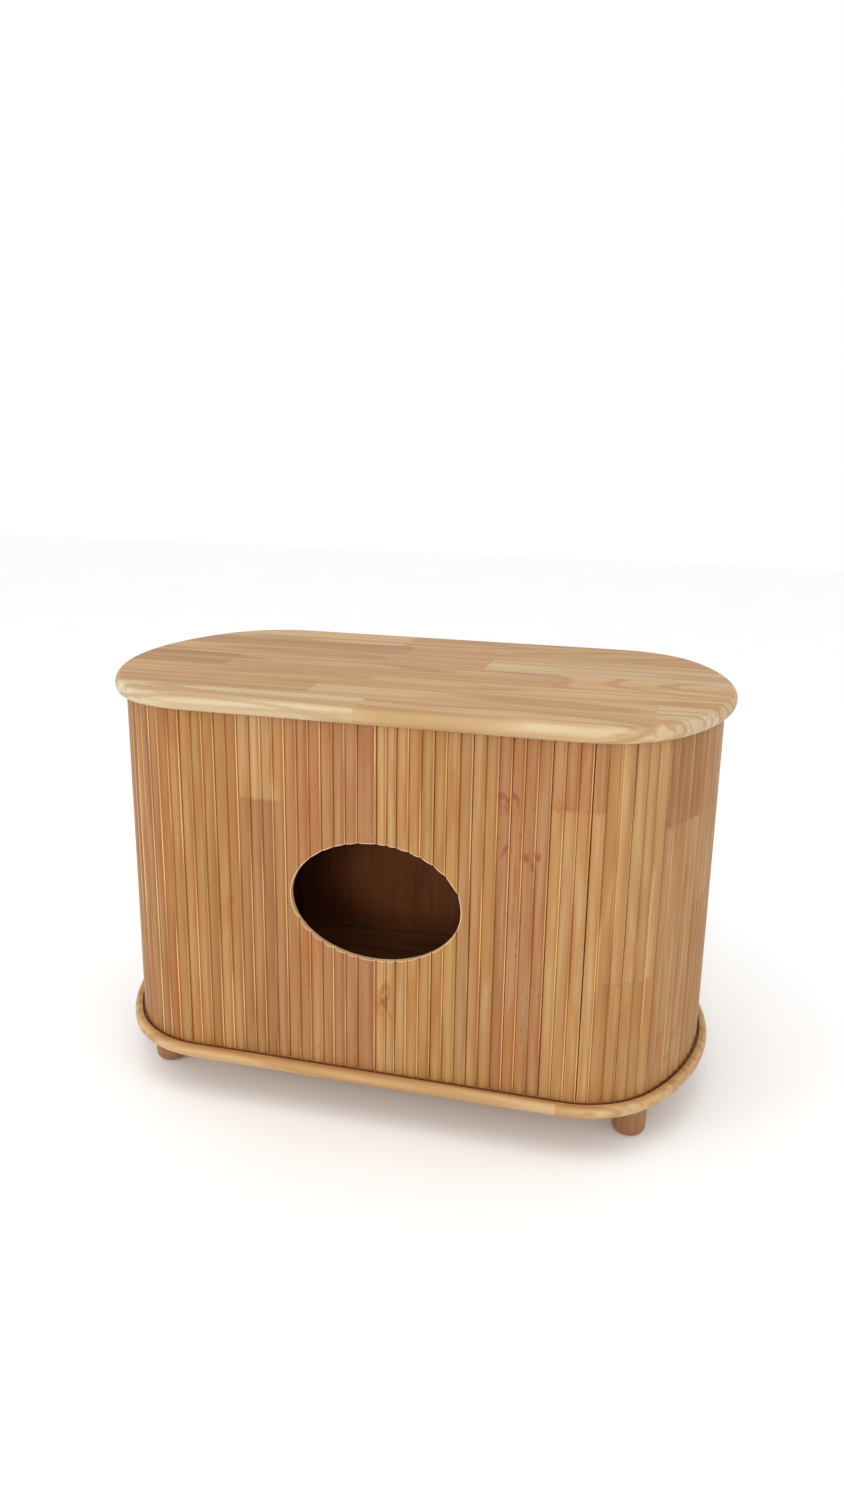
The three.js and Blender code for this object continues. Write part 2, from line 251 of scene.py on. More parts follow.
class MeshMaker:
    """Collects points and faces in millimetres, and turns them into one Blender object."""

    def __init__(self) -> None:
        """Starts an empty mesh."""
        self.bm = bmesh.new()

    def ring(self, points: Iterable[tuple[float, float, float]]) -> list[bmesh.types.BMVert]:
        """Adds one ring of points and returns it."""
        return [self.bm.verts.new((x * MM, y * MM, z * MM)) for x, y, z in points]

    def skin(
        self, lower: Sequence[bmesh.types.BMVert], upper: Sequence[bmesh.types.BMVert]
    ) -> None:
        """Joins two rings of the same count with quads.

        Args:
            lower: First ring.
            upper: Second ring.
        """
        count = len(lower)
        for index in range(count):
            after = (index + 1) % count
            self.bm.faces.new((lower[index], lower[after], upper[after], upper[index]))

    def cap(self, ring: Sequence[bmesh.types.BMVert], flipped: bool = False) -> None:
        """Closes a ring with one face, turned over if flipped."""
        self.bm.faces.new(list(reversed(ring)) if flipped else list(ring))

    def loft(self, rings: Sequence[Sequence[tuple[float, float, float]]]) -> None:
        """Makes a closed skin through a stack of rings, with a cap at each end.

        Args:
            rings: Rings of points, each anticlockwise seen from the last one's side.
        """
        made = [self.ring(points) for points in rings]
        for lower, upper in zip(made, made[1:]):
            self.skin(lower, upper)
        self.cap(made[0], flipped=True)
        self.cap(made[-1])

    def lathe(self, profile: Sequence[Pair], steps: int, x: float, y: float) -> None:
        """Turns a profile about an upright axis.

        Args:
            profile: Pairs of radius and height that start and end on the axis.
            steps: Points round the axis.
            x: Where the axis stands.
            y: Where the axis stands.
        """
        foot = self.bm.verts.new((x * MM, y * MM, profile[0][1] * MM))
        head = self.bm.verts.new((x * MM, y * MM, profile[-1][1] * MM))
        turns = [2 * math.pi * step / steps for step in range(steps)]
        made = [
            self.ring((x + r * math.cos(turn), y + r * math.sin(turn), z) for turn in turns)
            for r, z in profile[1:-1]
        ]
        for lower, upper in zip(made, made[1:]):
            self.skin(lower, upper)
        for index in range(steps):
            after = (index + 1) % steps
            self.bm.faces.new((foot, made[0][after], made[0][index]))
            self.bm.faces.new((head, made[-1][index], made[-1][after]))

    def finish(self, name: str) -> bpy.types.Object:
        """Makes the object and puts it in the scene.

        Args:
            name: Name of the object.

        Returns:
            The new object.
        """
        bmesh.ops.recalc_face_normals(self.bm, faces=self.bm.faces)
        mesh = bpy.data.meshes.new(name)
        self.bm.to_mesh(mesh)
        self.bm.free()
        piece = bpy.data.objects.new(name, mesh)
        bpy.context.scene.collection.objects.link(piece)
        return piece


def cut(piece: bpy.types.Object, cutters: Sequence[bpy.types.Object]) -> None:
    """Cuts solids out of a piece for good, and removes the cutters.

    Args:
        piece: The piece to cut.
        cutters: The solids to take away.
    """
    for cutter in cutters:
        modifier = piece.modifiers.new("cut", "BOOLEAN")
        modifier.operation = "DIFFERENCE"
        modifier.solver = "EXACT"
        modifier.object = cutter
    bpy.context.view_layer.update()
    graph = bpy.context.evaluated_depsgraph_get()
    made = bpy.data.meshes.new_from_object(piece.evaluated_get(graph))
    old = piece.data
    piece.modifiers.clear()
    piece.data = made
    made.name = old.name
    bpy.data.meshes.remove(old)
    for cutter in cutters:
        bpy.data.objects.remove(cutter)


def keep_part(piece: bpy.types.Object, above: float | None, below: float | None) -> None:
    """Drops the loose parts of a piece that lie on the wrong side of a height.

    Args:
        piece: The piece, which may hold several loose parts.
        above: Keeps only the parts whose middle is above this height, in millimetres.
        below: Keeps only the parts whose middle is below this height, in millimetres.
    """
    bm = bmesh.new()
    bm.from_mesh(piece.data)
    seen: set[bmesh.types.BMVert] = set()
    wrong: list[bmesh.types.BMVert] = []
    for start in bm.verts:
        if start in seen:
            continue
        part, queue = [], [start]
        seen.add(start)
        while queue:
            vert = queue.pop()
            part.append(vert)
            for edge in vert.link_edges:
                other = edge.other_vert(vert)
                if other not in seen:
                    seen.add(other)
                    queue.append(other)
        heights = [vert.co.z / MM for vert in part]
        middle = (min(heights) + max(heights)) / 2
        if (above is not None and middle < above) or (below is not None and middle > below):
            wrong.extend(part)
    bmesh.ops.delete(bm, geom=wrong, context="VERTS")
    bm.to_mesh(piece.data)
    bm.free()


def shade_by_angle(piece: bpy.types.Object, degrees: float) -> None:
    """Shades a piece smooth, with a crisp edge wherever two faces meet more sharply than an angle.

    Args:
        piece: The piece to shade.
        degrees: The angle.
    """
    bm = bmesh.new()
    bm.from_mesh(piece.data)
    for face in bm.faces:
        face.smooth = True
    for edge in bm.edges:
        edge.smooth = edge.is_manifold and edge.calc_face_angle(0.0) < math.radians(degrees)
    bm.to_mesh(piece.data)
    bm.free()


def oval_points(width: float, height: float, steps: int) -> list[Pair]:
    """Points round an oval that is centred on the origin.

    Args:
        width: Full width.
        height: Full height.
        steps: Number of points.

    Returns:
        The points, anticlockwise.
    """
    turns = [2 * math.pi * step / steps for step in range(steps)]
    return [(width / 2 * math.cos(turn), height / 2 * math.sin(turn)) for turn in turns]


# ------------------------------------------------------------------------------- entry hole


@dataclass(frozen=True)
class EntryHole:
    """Oval hole through both doors."""

    width: float = 237.0
    height: float = 168.0
    middle_x: float = 3.0
    middle_height: float = 336.0
    steps: int = 192
    cut_from_y: float = -205.0
    cut_to_y: float = -275.0
    edge_tolerance: float = 0.004

    def touches(self, low_x: float, high_x: float) -> bool:
        """Says whether the hole reaches into a stretch of the front."""
        return high_x > self.middle_x - self.width / 2 and low_x < self.middle_x + self.width / 2

    def cutter(self) -> bpy.types.Object:
        """Makes the oval solid that cuts the hole.

        Returns:
            The cutter.
        """
        maker = MeshMaker()
        oval = oval_points(self.width, self.height, self.steps)
        edge = [(self.middle_x + x, self.middle_height + z) for x, z in oval]
        maker.loft([[(x, y, z) for x, z in edge] for y in (self.cut_from_y, self.cut_to_y)])
        return maker.finish("hole_cutter")

    def is_sawn(self, corners: Iterable[Vector]) -> bool:
        """Says whether all corners of a face lie on the edge of the hole.

        Args:
            corners: The corners, in metres.

        Returns:
            Whether the face is part of the sawn edge.
        """
        for corner in corners:
            across = (corner.x / MM - self.middle_x) / (self.width / 2)
            up = (corner.z / MM - self.middle_height) / (self.height / 2)
            if abs(across * across + up * up - 1) > self.edge_tolerance:
                return False
        return True


# ------------------------------------------------------------------------------- shader graphs

Input = bpy.types.NodeSocket | float | Sequence[float]


class Shader:
    """One node material. Each method adds a node and returns the socket of its result."""

    def __init__(self, name: str) -> None:
        """Starts a material with a surface shader and its output.

        Args:
            name: Name of the material.
        """
        self.material = bpy.data.materials.new(name)
        self.material.use_nodes = True
        self.tree = self.material.node_tree
        self.tree.nodes.clear()
        self.surface = self.tree.nodes.new("ShaderNodeBsdfPrincipled")
        output = self.tree.nodes.new("ShaderNodeOutputMaterial")
        self.tree.links.new(self.surface.outputs["BSDF"], output.inputs["Surface"])
        self.place = self.node("ShaderNodeTexCoord").outputs["Object"]

    def node(
        self, kind: str, inputs: dict[str | int, Input] | None = None, **settings: str | bool
    ) -> bpy.types.Node:
        """Adds a node.

        Args:
            kind: Blender's name for the node.
            inputs: What goes into its sockets, by name or by number.
            settings: Its other settings.

        Returns:
            The node.
        """
        made = self.tree.nodes.new(kind)
        for key, value in settings.items():
            setattr(made, key, value)
        for key, value in (inputs or {}).items():
            self.plug(made.inputs[key], value)
        return made

    def plug(self, socket: bpy.types.NodeSocket, value: Input) -> None:
        """Links a socket to an output, or sets it to a constant.

        Args:
            socket: The socket.
            value: An output, a number or a list of numbers.
        """
        if isinstance(value, bpy.types.NodeSocket):
            self.tree.links.new(value, socket)
        elif socket.type == "RGBA" and len(value) == 3:
            socket.default_value = (*value, 1.0)
        else:
            socket.default_value = value

    def attribute(self, name: str) -> bpy.types.Node:
        """Reads one of the mesh's own layers."""
        return self.node("ShaderNodeAttribute", attribute_name=name)

    def math(
        self, operation: str, a: Input, b: Input = 0.0, c: Input = 0.0
    ) -> bpy.types.NodeSocket:
        """Does one sum on numbers."""
        return self.node("ShaderNodeMath", {0: a, 1: b, 2: c}, operation=operation).outputs[0]

    def away(self, value: Input, middle: Input) -> bpy.types.NodeSocket:
        """Measures how far one number lies from another."""
        return self.math("ABSOLUTE", self.math("SUBTRACT", value, middle))

    def length(self, x: Input, y: Input) -> bpy.types.NodeSocket:
        """Measures how far a point of a plane lies from its origin."""
        flat = self.join(x, y, 0.0)
        return self.node("ShaderNodeVectorMath", {0: flat}, operation="LENGTH").outputs["Value"]

    def vector(self, operation: str, a: Input, b: Input) -> bpy.types.NodeSocket:
        """Does one sum on vectors."""
        return self.node("ShaderNodeVectorMath", {0: a, 1: b}, operation=operation).outputs[0]

    def split(self, vector: Input) -> tuple[bpy.types.NodeSocket, ...]:
        """Takes a vector apart."""
        return tuple(self.node("ShaderNodeSeparateXYZ", {0: vector}).outputs)

    def join(self, x: Input, y: Input, z: Input) -> bpy.types.NodeSocket:
        """Puts a vector together."""
        return self.node("ShaderNodeCombineXYZ", {0: x, 1: y, 2: z}).outputs[0]

    def noise(
        self, place: Input, scale: Sequence[float], detail: float = 2.0, bend: float = 0.0
    ) -> bpy.types.NodeSocket:
        """Adds soft random values.

        Args:
            place: Where on the surface, in metres.
            scale: How many features there are in a metre, each way.
            detail: How much finer detail there is.
            bend: How much the features are bent.

        Returns:
            A value of about 0.3 to 0.7.
        """
        stretched = self.vector("MULTIPLY", place, scale)
        inputs = {"Vector": stretched, "Scale": 1.0, "Detail": detail, "Distortion": bend}
        return self.node("ShaderNodeTexNoise", inputs).outputs[0]

    def spread(
        self,
        value: Input,
        low: float,
        high: float,
        to_low: float = 0.0,
        to_high: float = 1.0,
        smooth: bool = False,
    ) -> bpy.types.NodeSocket:
        """Maps a range of values on to another, and clamps it.

        Args:
            value: The value.
            low: Start of its range.
            high: End of its range.
            to_low: What the start becomes.
            to_high: What the end becomes.
            smooth: Whether it eases in and out.

        Returns:
            The mapped value.
        """
        kind = "SMOOTHSTEP" if smooth else "LINEAR"
        inputs = {0: value, 1: low, 2: high, 3: to_low, 4: to_high}
        return self.node("ShaderNodeMapRange", inputs, interpolation_type=kind).outputs[0]

    def blend(
        self, share: Input, first: Input, second: Input, mode: str = "MIX"
    ) -> bpy.types.NodeSocket:
        """Mixes two colours.

        Args:
            share: How much of the second there is.
            first: First colour.
            second: Second colour.
            mode: Blender's name for the way of mixing.

        Returns:
            The mixed colour.
        """
        inputs = {0: share, 6: first, 7: second}
        mixed = self.node("ShaderNodeMix", inputs, data_type="RGBA", blend_type=mode)
        return mixed.outputs[2]

    def tint(self, colour: Input, by: Colour) -> bpy.types.NodeSocket:
        """Multiplies one colour by another."""
        return self.blend(1.0, colour, by, "MULTIPLY")

    def fade(self, value: Input, span: Pair, tones: tuple[Colour, Colour]) -> bpy.types.NodeSocket:
        """Fades from one tone to another over a span of values."""
        return self.blend(self.spread(value, *span), *tones)

    def steps(self, value: Input, stops: Sequence[tuple[float, Colour]]) -> bpy.types.NodeSocket:
        """Looks a value up in a table of flat steps.

        Args:
            value: The value, from 0 to 1.
            stops: Where each step starts, and its colour.

        Returns:
            The colour of the step.
        """
        ramp = self.node("ShaderNodeValToRGB", {0: value})
        band = ramp.color_ramp
        band.interpolation = "CONSTANT"
        while len(band.elements) > 1:
            band.elements.remove(band.elements[-1])
        band.elements[0].position, band.elements[0].color = stops[0][0], (*stops[0][1], 1.0)
        for position, colour in stops[1:]:
            band.elements.new(position).color = (*colour, 1.0)
        return ramp.outputs[0]

    def bump(self, height: Input, strength: float, depth: float) -> None:
        """Raises the surface by a height map.

        Args:
            height: The map.
            strength: How strong it is, from 0 to 1.
            depth: How high a value of one stands, in millimetres.
        """
        inputs = {"Strength": strength, "Distance": depth * MM, "Height": height}
        self.plug(self.surface.inputs["Normal"], self.node("ShaderNodeBump", inputs).outputs[0])

    def set(self, **sockets: Input) -> None:
        """Sets sockets of the surface shader, named with underscores for spaces."""
        for name, value in sockets.items():
            self.plug(self.surface.inputs[name.replace("_", " ")], value)


# ------------------------------------------------------------------------------- finishes


@dataclass(frozen=True)
class Grain:
    """Figure of one kind of timber, drawn in a space whose third axis runs along the grain.

    A scale says how many features there are in a metre across the grain, a share how strongly
    they show, and a fade over which noise values they come in.
    """

    vein_scale: float = 7.0
    vein_count: float = 12.0
    vein_share: float = 0.4
    vein_fade: Pair = (0.35, 1.0)
    streak_scale: float = 90.0
    streak_share: float = 0.5
    streak_fade: Pair = (0.46, 0.68)
    streak_along: float = 1.6
    flame_scale: float = 45.0
    flame_share: float = 0.4
    flame_fade: Pair = (0.48, 0.62)
    flame_along: float = 5.0
    pale_share: float = 0.8
    pale_fade: Pair = (0.5, 0.36)
    fibre_scale: float = 650.0
    fibre_share: float = 0.25
    fibre_fade: Pair = (0.42, 0.72)
    fibre_along: float = 16.0
    along: float = 1.3
    seed_shift: tuple[float, float, float] = (3.7, 2.3, 11.9)
    dark: Colour = (0.80, 0.66, 0.50)
    amber: Colour = (0.93, 0.75, 0.50)
    light: Colour = (1.06, 1.10, 1.18)

    def draw(
        self, shader: Shader, place: Input, seed: Input, colour: Input
    ) -> tuple[bpy.types.NodeSocket, bpy.types.NodeSocket]:
        """Draws the grain over a colour.

        Args:
            shader: The material.
            place: Position in metres, grain along the third axis.
            seed: A number that differs from board to board.
            colour: Colour of the board.

        Returns:
            The figured colour, and the fibres as a height map.
        """
        shift = shader.vector("MULTIPLY", shader.join(seed, seed, seed), self.seed_shift)
        moved = shader.vector("ADD", place, shift)

        def figure(
            scale: float, along: float, detail: float, bend: float = 0.0
        ) -> bpy.types.NodeSocket:
            """Adds noise that is drawn out along the grain."""
            return shader.noise(moved, (scale, scale, along), detail, bend)

        broad = figure(self.vein_scale, self.along, 1.5, 0.3)
        waves = shader.math("SINE", shader.math("MULTIPLY", broad, self.vein_count * 2 * math.pi))
        veins = shader.spread(waves, *self.vein_fade, 0.0, self.vein_share)
        streak = figure(self.streak_scale, self.along * self.streak_along, 3.0)
        streaks = shader.spread(streak, *self.streak_fade, 0.0, self.streak_share)
        flame = figure(self.flame_scale, self.along * self.flame_along, 2.0, 0.4)
        flames = shader.spread(flame, *self.flame_fade, 0.0, self.flame_share)
        pale = shader.spread(flame, *self.pale_fade, 0.0, self.pale_share)
        fibre = figure(self.fibre_scale, self.fibre_along, 2.0)
        fibres = shader.spread(fibre, *self.fibre_fade, 0.0, self.fibre_share)
        darker, richer, lighter = (
            shader.tint(colour, tint) for tint in (self.dark, self.amber, self.light)
        )
        figured = shader.blend(pale, colour, lighter)
        figured = shader.blend(flames, figured, richer)
        for share in (veins, streaks, fibres):
            figured = shader.blend(share, figured, darker)
        return figured, fibre


@dataclass(frozen=True)
class PlankRow:
    """A row of planks in a glued-up panel: where it starts, where its planks meet, their tones."""

    start: float
    joints: Pair
    tones: tuple[Tone, Tone, Tone]


@dataclass(frozen=True)
class PlankFinish:
    """Clear-varnished panel that is glued up from rows of planks, with the grain along X."""

    name: str
    rows: tuple[PlankRow, ...]
    # Painted highlight: the bullnose is lightened and whitened as a sheen.
    nose_sheen_tint: Colour = (1.09, 1.28, 1.62)
    grain: Grain = Grain(
        vein_scale=6.0, vein_count=16.0, vein_share=0.9, streak_scale=110.0, streak_share=0.9,
        flame_scale=24.0, along=0.7, dark=(0.78, 0.64, 0.48),
    )
    span: float = 1000.0
    seam_half: float = 0.45
    seam_share: float = 0.3
    seam_tone: Colour = (0.30, 0.15, 0.06)
    nose_sheen_fade: Pair = (0.99, 0.7)
    roughness: Pair = (0.5, 0.62)
    seeds: float = 16.0
    seed_steps: Pair = (0.37, 0.23)

    def share(self, value: float) -> float:
        """Puts a place across the panel into the range 0 to 1."""
        return value / self.span + 0.5

    def material(self) -> bpy.types.Material:
        """Builds the material.

        Returns:
            The material.
        """
        shader = Shader(self.name)
        x, y, z = shader.split(shader.place)
        across = shader.math("ADD", shader.math("MULTIPLY", y, 1 / (self.span * MM)), 0.5)
        along = shader.math("ADD", shader.math("MULTIPLY", x, 1 / (self.span * MM)), 0.5)

        def by_row(pick: Callable[[PlankRow], Colour]) -> bpy.types.NodeSocket:
            """Looks a value up by the row of planks.

            Args:
                pick: Gives the value of a row, as a colour.

            Returns:
                The value of the row at each point.
            """
            return shader.steps(across, [(self.share(row.start), pick(row)) for row in self.rows])

        first, second = (
            by_row(lambda row, side=side: grey(self.share(row.joints[side]))) for side in (0, 1)
        )
        past_first = shader.math("GREATER_THAN", along, first)
        past_second = shader.math("GREATER_THAN", along, second)
        tones = [by_row(lambda row, n=n: row.tones[n].value) for n in range(3)]
        colour = shader.blend(past_first, tones[0], tones[1])
        colour = shader.blend(past_second, colour, tones[2])
        number = by_row(lambda row: grey((self.rows.index(row) + 1) / self.seeds))
        seed = shader.math("MULTIPLY_ADD", past_first, self.seed_steps[0], number)
        seed = shader.math("MULTIPLY_ADD", past_second, self.seed_steps[1], seed)

        grain_place = shader.join(y, z, x)
        colour, fibre = self.grain.draw(shader, grain_place, seed, colour)

        stops: list[tuple[float, Colour]] = [(0.0, grey(0.0))]
        for row in self.rows[1:]:
            stops.append((self.share(row.start - self.seam_half), grey(1.0)))
            stops.append((self.share(row.start + self.seam_half), grey(0.0)))
        seam = shader.steps(across, stops)
        for joint in (first, second):
            near = shader.math("LESS_THAN", shader.away(along, joint), self.seam_half / self.span)
            seam = shader.math("MAXIMUM", seam, near)
        soft_seam = shader.math("MULTIPLY", seam, self.seam_share)
        colour = shader.blend(soft_seam, colour, self.seam_tone)
        # Painted highlight: where the faces turn from level, on the bullnose, the colour is lightened
        # and whitened as a sheen.
        _, _, facing = shader.split(shader.node("ShaderNodeTexCoord").outputs["Normal"])
        rounded = shader.spread(shader.math("ABSOLUTE", facing), *self.nose_sheen_fade)
        colour = shader.blend(rounded, colour, shader.tint(colour, self.nose_sheen_tint))
        shader.set(Base_Color=colour, Roughness=shader.spread(fibre, 0.3, 0.7, *self.roughness))
        shader.set(Specular_IOR_Level=0.26, Coat_Weight=0.03, Coat_Roughness=0.35)
        shader.bump(shader.math("SUBTRACT", fibre, soft_seam), 0.25, 0.12)
        return shader.material


class MarkKind(Enum):
    """What a mark in the slats looks like."""

    ARCH = "the curled outline of a knot, open at the bottom"
    STAIN = "a dark blotch beside a knot"
    FLAME = "a tall streak of amber heartwood"
    SWIRL = "an amber curl of grain round a buried knot"

    @property
    def is_curled(self) -> bool:
        """Whether the mark is an open curl and not a filled spot."""
        return self in (MarkKind.ARCH, MarkKind.SWIRL)

    @property
    def ink(self) -> Colour:
        """Colour of the mark: amber heartwood, or the dark rim of a knot."""
        is_amber = self in (MarkKind.FLAME, MarkKind.SWIRL)
        return linear(158, 100, 44) if is_amber else linear(134, 72, 34)


@dataclass(frozen=True)
class Mark:
    """A natural mark in the slats, at a run along the front and a height."""

    kind: MarkKind
    run: float
    height: float
    width: float
    length: float
    strength: float = 0.8
    lean: float = 0.0


@dataclass(frozen=True)
class SlatFinish:
    """Varnished slats, toned board by board, with finger joints, knots and pores."""

    name: str = "slat_varnish"
    grain: Grain = Grain(
        vein_scale=13.0, vein_count=9.0, vein_share=0.4, streak_scale=130.0, streak_share=0.8,
        flame_scale=55.0, flame_share=1.0, along=1.2,
    )
    marks: tuple[Mark, ...] = ()
    finger: float = 2.0
    joint_blur: float = 0.3
    joint_seed_step: float = 0.41
    glue_half: float = 1.6
    glue_share: float = 0.65
    glue_tone: Colour = (0.24, 0.11, 0.04)
    hole: EntryHole = EntryHole()
    # Painted highlight round the edge of the entry hole:
    rim_share: float = 0.013
    rim_highlight_strength: float = 0.5
    rim_highlight_tone: Colour = linear(248, 214, 168)
    # Painted shade in a band on each crown, painted light in the flutes, and a painted highlight line
    # along each shoulder:
    painted_shade_at: float = 0.62
    painted_shade_tint: Colour = (0.86, 0.68, 0.44)
    flute_fill_light_share: float = 0.4
    flute_fill_light_tone: Colour = linear(196, 124, 60)
    highlight_line_at: float = 0.88
    highlight_line_tone: Colour = linear(240, 198, 134)
    pore_tone: Colour = linear(124, 72, 38)

    def material(self) -> bpy.types.Material:
        """Builds the material.

        Returns:
            The material.
        """
        shader = Shader(self.name)
        place = shader.attribute("unrolled").outputs["Vector"]
        run, _, height = shader.split(place)
        joint = shader.attribute("joint_height").outputs["Fac"]
        seed = shader.attribute("board_seed").outputs["Fac"]
        teeth = shader.math("MULTIPLY", shader.math("PINGPONG", run, self.finger * MM), 2.0)
        over = shader.math("SUBTRACT", shader.math("SUBTRACT", height, joint), teeth)
        above = shader.spread(over, -self.joint_blur * MM, self.joint_blur * MM)
        low, high = (
            shader.attribute(name).outputs["Color"] for name in ("tone_below", "tone_above")
        )
        colour = shader.blend(above, low, high)
        jump = shader.math("MULTIPLY_ADD", above, self.joint_seed_step, seed)
        colour, fibre = self.grain.draw(shader, place, jump, colour)

        line = shader.math("ABSOLUTE", over)
        glue = shader.spread(line, 0.0, self.glue_half * MM, self.glue_share, 0.0)
        colour = shader.blend(glue, colour, self.glue_tone)
        wobble = shader.noise(place, (150.0, 1.0, 90.0), 2.0)
        unsteady = shader.spread(wobble, 0.3, 0.7, -0.3, 0.3)
        for mark in self.marks:
            colour = self.add_mark(shader, colour, (run, height, unsteady), mark)
        colour = self.add_pores(shader, colour, place)
        colour = self.add_painted_shade_and_highlights(shader, colour, place)
        colour = self.add_rim_highlight(shader, colour, run, height)
        shader.set(Base_Color=colour, Roughness=shader.spread(fibre, 0.3, 0.7, 0.38, 0.55))
        shader.set(Specular_IOR_Level=0.4, Coat_Weight=0.08, Coat_Roughness=0.25)
        shader.bump(fibre, 0.3, 0.12)
        return shader.material

    def add_mark(
        self, shader: Shader, colour: Input, where: tuple[Input, Input, Input], mark: Mark
    ) -> bpy.types.NodeSocket:
        """Draws one natural mark into the grain.

        Args:
            shader: The material.
            colour: Colour so far.
            where: Run along the front, height, and how unsteady the mark's outline is there.
            mark: The mark.

        Returns:
            The colour with the mark.
        """
        run, height, unsteady = where
        shift = shader.math("MULTIPLY_ADD", height, mark.lean, -mark.height * mark.lean * MM)
        upright = shader.math("SUBTRACT", run, shift)
        over = shader.math("MULTIPLY_ADD", upright, 1 / (mark.width * MM), -mark.run / mark.width)
        up = shader.math("MULTIPLY_ADD", height, 1 / (mark.length * MM), -mark.height / mark.length)
        if mark.kind.is_curled:
            below = shader.math("MULTIPLY", shader.math("MINIMUM", up, 0.0), 0.45)
            up = shader.math("ADD", shader.math("MAXIMUM", up, 0.0), below)
        far = shader.math("ADD", shader.length(over, up), unsteady)
        if mark.kind.is_curled:
            shape = shader.spread(shader.away(far, 0.8), 0.15, 0.6, mark.strength, 0.0)
            shape = shader.math("MULTIPLY", shape, shader.spread(up, -0.8, 0.2))
        else:
            shape = shader.spread(far, 0.45, 1.05, mark.strength, 0.0, smooth=True)
        return shader.blend(shape, colour, mark.kind.ink)

    def add_rim_highlight(
        self, shader: Shader, colour: Input, run: Input, height: Input
    ) -> bpy.types.NodeSocket:
        """Paints a thin pale highlight round the eased edge of the entry hole.

        Args:
            shader: The material.
            colour: Colour so far.
            run: Run along the front.
            height: Height above the floor.

        Returns:
            The colour with a thin painted highlight round the hole.
        """
        hole = self.hole
        half_width, half_height = hole.width / 2, hole.height / 2
        over = shader.math(
            "MULTIPLY_ADD", run, 1 / (half_width * MM), -hole.middle_x / half_width
        )
        up = shader.math(
            "MULTIPLY_ADD", height, 1 / (half_height * MM), -hole.middle_height / half_height
        )
        # Painted highlight: a pale ring along the hole's edge, the same all round.
        full, none = 1 + self.rim_share * 0.6, 1 + self.rim_share
        eased = shader.spread(shader.length(over, up), full, none, self.rim_highlight_strength, 0.0)
        return shader.blend(eased, colour, self.rim_highlight_tone)

    def add_painted_shade_and_highlights(self, shader: Shader, colour: Input, place: Input) -> bpy.types.NodeSocket:
        """Paints a band of shade on each slat's crown, light into the bottom of the flutes, and a
        thin highlight along the shoulders.

        Args:
            shader: The material.
            colour: Colour so far.
            place: Unrolled position.

        Returns:
            The colour with painted shade, light and highlights.
        """
        across = shader.attribute("across").outputs["Fac"]
        patches = shader.noise(place, (45.0, 1.0, 4.0), 2.0)
        # Painted shade: a darker amber band on one side of each crown, where it turns from the light.
        band = shader.away(across, self.painted_shade_at)
        crown_shade = shader.spread(band, 0.05, 0.32, 0.85, 0.0, smooth=True)
        crown_shade = shader.math("MULTIPLY", crown_shade, shader.spread(patches, 0.36, 0.56))
        colour = shader.blend(crown_shade, colour, shader.tint(colour, self.painted_shade_tint))
        # Painted light: the bottom of each flute is lightened against the shade that falls in it.
        flute = shader.spread(shader.math("ABSOLUTE", across), 0.94, 1.0, 0.0, self.flute_fill_light_share)
        colour = shader.blend(flute, colour, self.flute_fill_light_tone)
        # Painted highlight: a thin pale line along each slat's shoulder, strong on one side and faint
        # on the other.
        line = shader.spread(shader.away(across, self.highlight_line_at), 0.05, 0.085, 1.0, 0.0)
        right = shader.math("MULTIPLY", line, shader.spread(patches, 0.42, 0.6, 0.08, 0.7))
        edge = shader.spread(across, -0.86, -0.92)
        left = shader.math("MULTIPLY", edge, shader.spread(patches, 0.45, 0.6, 0.0, 0.4))
        return shader.blend(shader.math("MAXIMUM", right, left), colour, self.highlight_line_tone)

    def add_pores(self, shader: Shader, colour: Input, place: Input) -> bpy.types.NodeSocket:
        """Scatters short dark ticks over the slats that have pores.

        Args:
            shader: The material.
            colour: Colour so far.
            place: Unrolled position.

        Returns:
            The dotted colour.
        """
        pored = shader.attribute("pores").outputs["Fac"]
        stretched = shader.vector("MULTIPLY", place, (190.0, 1.0, 75.0))
        cells = shader.node("ShaderNodeTexVoronoi", {"Vector": stretched, "Scale": 1.0}).outputs
        chosen = shader.math("LESS_THAN", shader.split(cells["Color"])[0], pored)
        ticks = shader.spread(cells["Distance"], 0.1, 0.24, 0.75, 0.0)
        return shader.blend(shader.math("MULTIPLY", ticks, chosen), colour, self.pore_tone)


@dataclass(frozen=True)
class CutEdgeFinish:
    """Sawn edge of the entry hole: pale end grain, with the canvas as a light line behind it."""

    name: str = "sawn_hole_edge"
    canvas_thickness: float = 1.2
    wood_tones: tuple[Colour, Colour] = (linear(250, 224, 186), linear(232, 190, 140))
    canvas_tone: Colour = linear(236, 226, 204)

    def material(self) -> bpy.types.Material:
        """Builds the material.

        Returns:
            The material.
        """
        shader = Shader(self.name)
        place = shader.attribute("unrolled").outputs["Vector"]
        _, out, _ = shader.split(place)
        specks = shader.noise(shader.place, (900.0, 500.0, 900.0), 2.0)
        wood = shader.fade(specks, (0.4, 0.65), self.wood_tones)
        cloth = shader.math("LESS_THAN", out, self.canvas_thickness * MM)
        colour = shader.blend(cloth, wood, self.canvas_tone)
        shader.set(Base_Color=colour, Roughness=shader.spread(specks, 0.3, 0.7, 0.6, 0.75))
        shader.bump(specks, 0.3, 0.15)
        return shader.material


